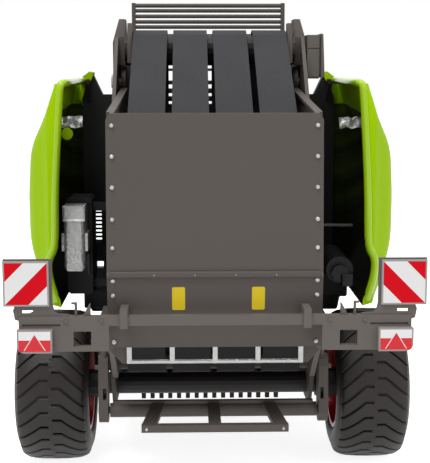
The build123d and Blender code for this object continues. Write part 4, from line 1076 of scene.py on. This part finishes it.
# %% Black blocks
# two corners, rim round the step, way of the step and width of the rounding
LOWER_BLOCKS = {
    "lower_block_left": ((-28.2, 8.6, 30.6), (-21.1, 16.0, 35.0), 1.2, (0.4, 0, -1.0), 0.4),
    "lower_block_right": ((21.1, 9.2, 32.8), (30.6, 18.0, 38.6), 1.4, (-0.6, 0, -3.2), 0.5),
}
for name, (low, high, rim_width, way, rounding) in LOWER_BLOCKS.items():
    lower_block = start_block(name, low, high)
    edit(lower_block)
    pick(lower_block, "faces", lambda f: f.normal.z < -0.9)
    inset(rim_width)
    extrude(*way)
    close_edit()
    deliver(soften(lower_block, rounding, 3), "black_plastic", "chassis")

# %% [markdown]
# Through the opening in the left wing a comb of eight dark teeth stands against the light. One
# tooth is a small tapered bar, and the comb is its copies on a back strip.

# %% Comb
TEETH, TOOTH_PITCH = 8, 0.98
strip = start_block("comb_strip", (-25.9, 32.5, 41.4), (-25.3, 33.2, 49.8))
tooth = start_block("tooth", (-27.6, 32.6, 41.9), (-25.8, 33.1, 42.4))
edit(tooth)
pick(tooth, "faces", lambda f: f.normal.x < -0.9)
inset(0.12)
move(-0.3, 0, 0)
close_edit()
teeth = copy_at(tooth, [shift(0, 0, TOOTH_PITCH * i) for i in range(TEETH)])
drop(tooth)
deliver(join("comb_teeth", [strip, *teeth]), "black_plastic", "chassis")

# %% [markdown]
# On the right a thin grey rod crosses behind the cover's edge, and the canister carries a
# small square plate. At the ramp's bar two small bright screws show.

# %% Small fittings
rod = start_round("cross_rod_right", (21.1, 2.0, 50.2), (30.4, 2.0, 50.0), 0.32, 16)
deliver(soften(rod, 0.1), "body_grey", "chassis")
plate = start_block("canister_plate", (27.4, -3.5, 37.6), (30.0, -1.8, 40.4))
deliver(soften(plate, 0.35, 3), "black_plastic", "chassis")
set_heads("ramp_screws", 0.3, 0.3, [(side * 12.9, -31.5, 16.1) for side in SIDES], "bright_metal", "ramp")

# %% [markdown]
# The crease of the tailgate is a raised bead right across the panel. Its rounded top catches
# the light and its foot keeps a dark line, which the flat fold of the construction is too
# fine for. The posts beside the belts have a cheek each that closes the gap to the belt.

# %% Crease bead and post cheeks
crease = start_block("crease_bead", (-19.3, -33.62, 45.45), (19.3, -33.0, 46.65))
deliver(soften(crease, 0.25, 3), "body_grey", "tailgate")
cheeks = []
for side in SIDES:
    cheek = start_side_block("cheek", side, 17.15, 18.25, (14.0, 84.6), (19.0, 93.4))
    edit(cheek)
    pick(cheek, "edges", lambda e: all(v.co.z > 93 * MM and v.co.y < AXLE_Y + 15 * MM for v in e.verts))
    move(0, 1.6, 0)
    close_edit()
    foot = start_side_block("foot", side, 18.1, 18.96, (17.4, 84.8), (19.0, 90.0))
    cheeks += [soften(cheek, 0.12), foot]
deliver(join("post_cheeks", cheeks), "body_grey", "chassis")

# %% [markdown]
# The tank's filler window has a raised frame. A block is inset on its rear face and the middle
# pushed in, which leaves the frame standing. A dark lever hangs beside the tank.

# %% Tank window and lever
window = start_block("tank_window", (-31.3, -2.45, 51.7), (-26.6, -1.8, 55.0))
edit(window)
pick(window, "faces", lambda f: f.normal.y < -0.9)
inset(0.38)
move(0, 0.4, 0)
close_edit()
deliver(soften(window, 0.1), "bright_metal", "chassis")
lever = start_block("lever", (-26.3, -2.4, 41.2), (-25.7, -1.2, 44.6))
edit(lever)
pick(lever, "faces", lambda f: f.normal.z < -0.9)
extrude(0.25, 0, -0.9)
close_edit()
hold = start_block("lever_hold", (-26.8, -1.6, 42.4), (-26.2, -0.6, 43.2))
deliver(join("tank_lever", [soften(lever, 0.12), hold]), "black_plastic", "chassis")

# %% [markdown]
# Between each board and the tailgate two small tabs stand on the light bar: a three-cornered
# one and a hooked one.

# %% Bar tabs
tabs = []
for side in SIDES:
    tri = start_side_block("tri", side, 22.6, 24.0, (-36.6, 39.1), (-36.0, 41.5))
    edit(tri)
    pick(tri, "verts", lambda v: v.co.z > 41 * MM and abs(v.co.x) > 23.5 * MM)
    move(-side * 1.1, 0, -0.3)
    close_edit()
    hook = start_side_block("hook", side, 25.0, 25.45, (-36.6, 39.1), (-36.0, 41.3))
    edit(hook)
    pick(hook, "faces", lambda f: f.normal.z > 0.9)
    extrude(0, 0, 0.35)
    pick(hook, "faces", lambda f: f.normal.x * side > 0.9 and f.calc_center_median().z > 41.3 * MM)
    extrude(side * 0.6, 0, 0)
    close_edit()
    tabs += [soften(tri, 0.1), soften(hook, 0.1)]
deliver(join("bar_tabs", tabs), "body_grey", "tailgate", "bar_grey")

# %% Finish
bpy.context.scene.view_settings.view_transform = "Standard"
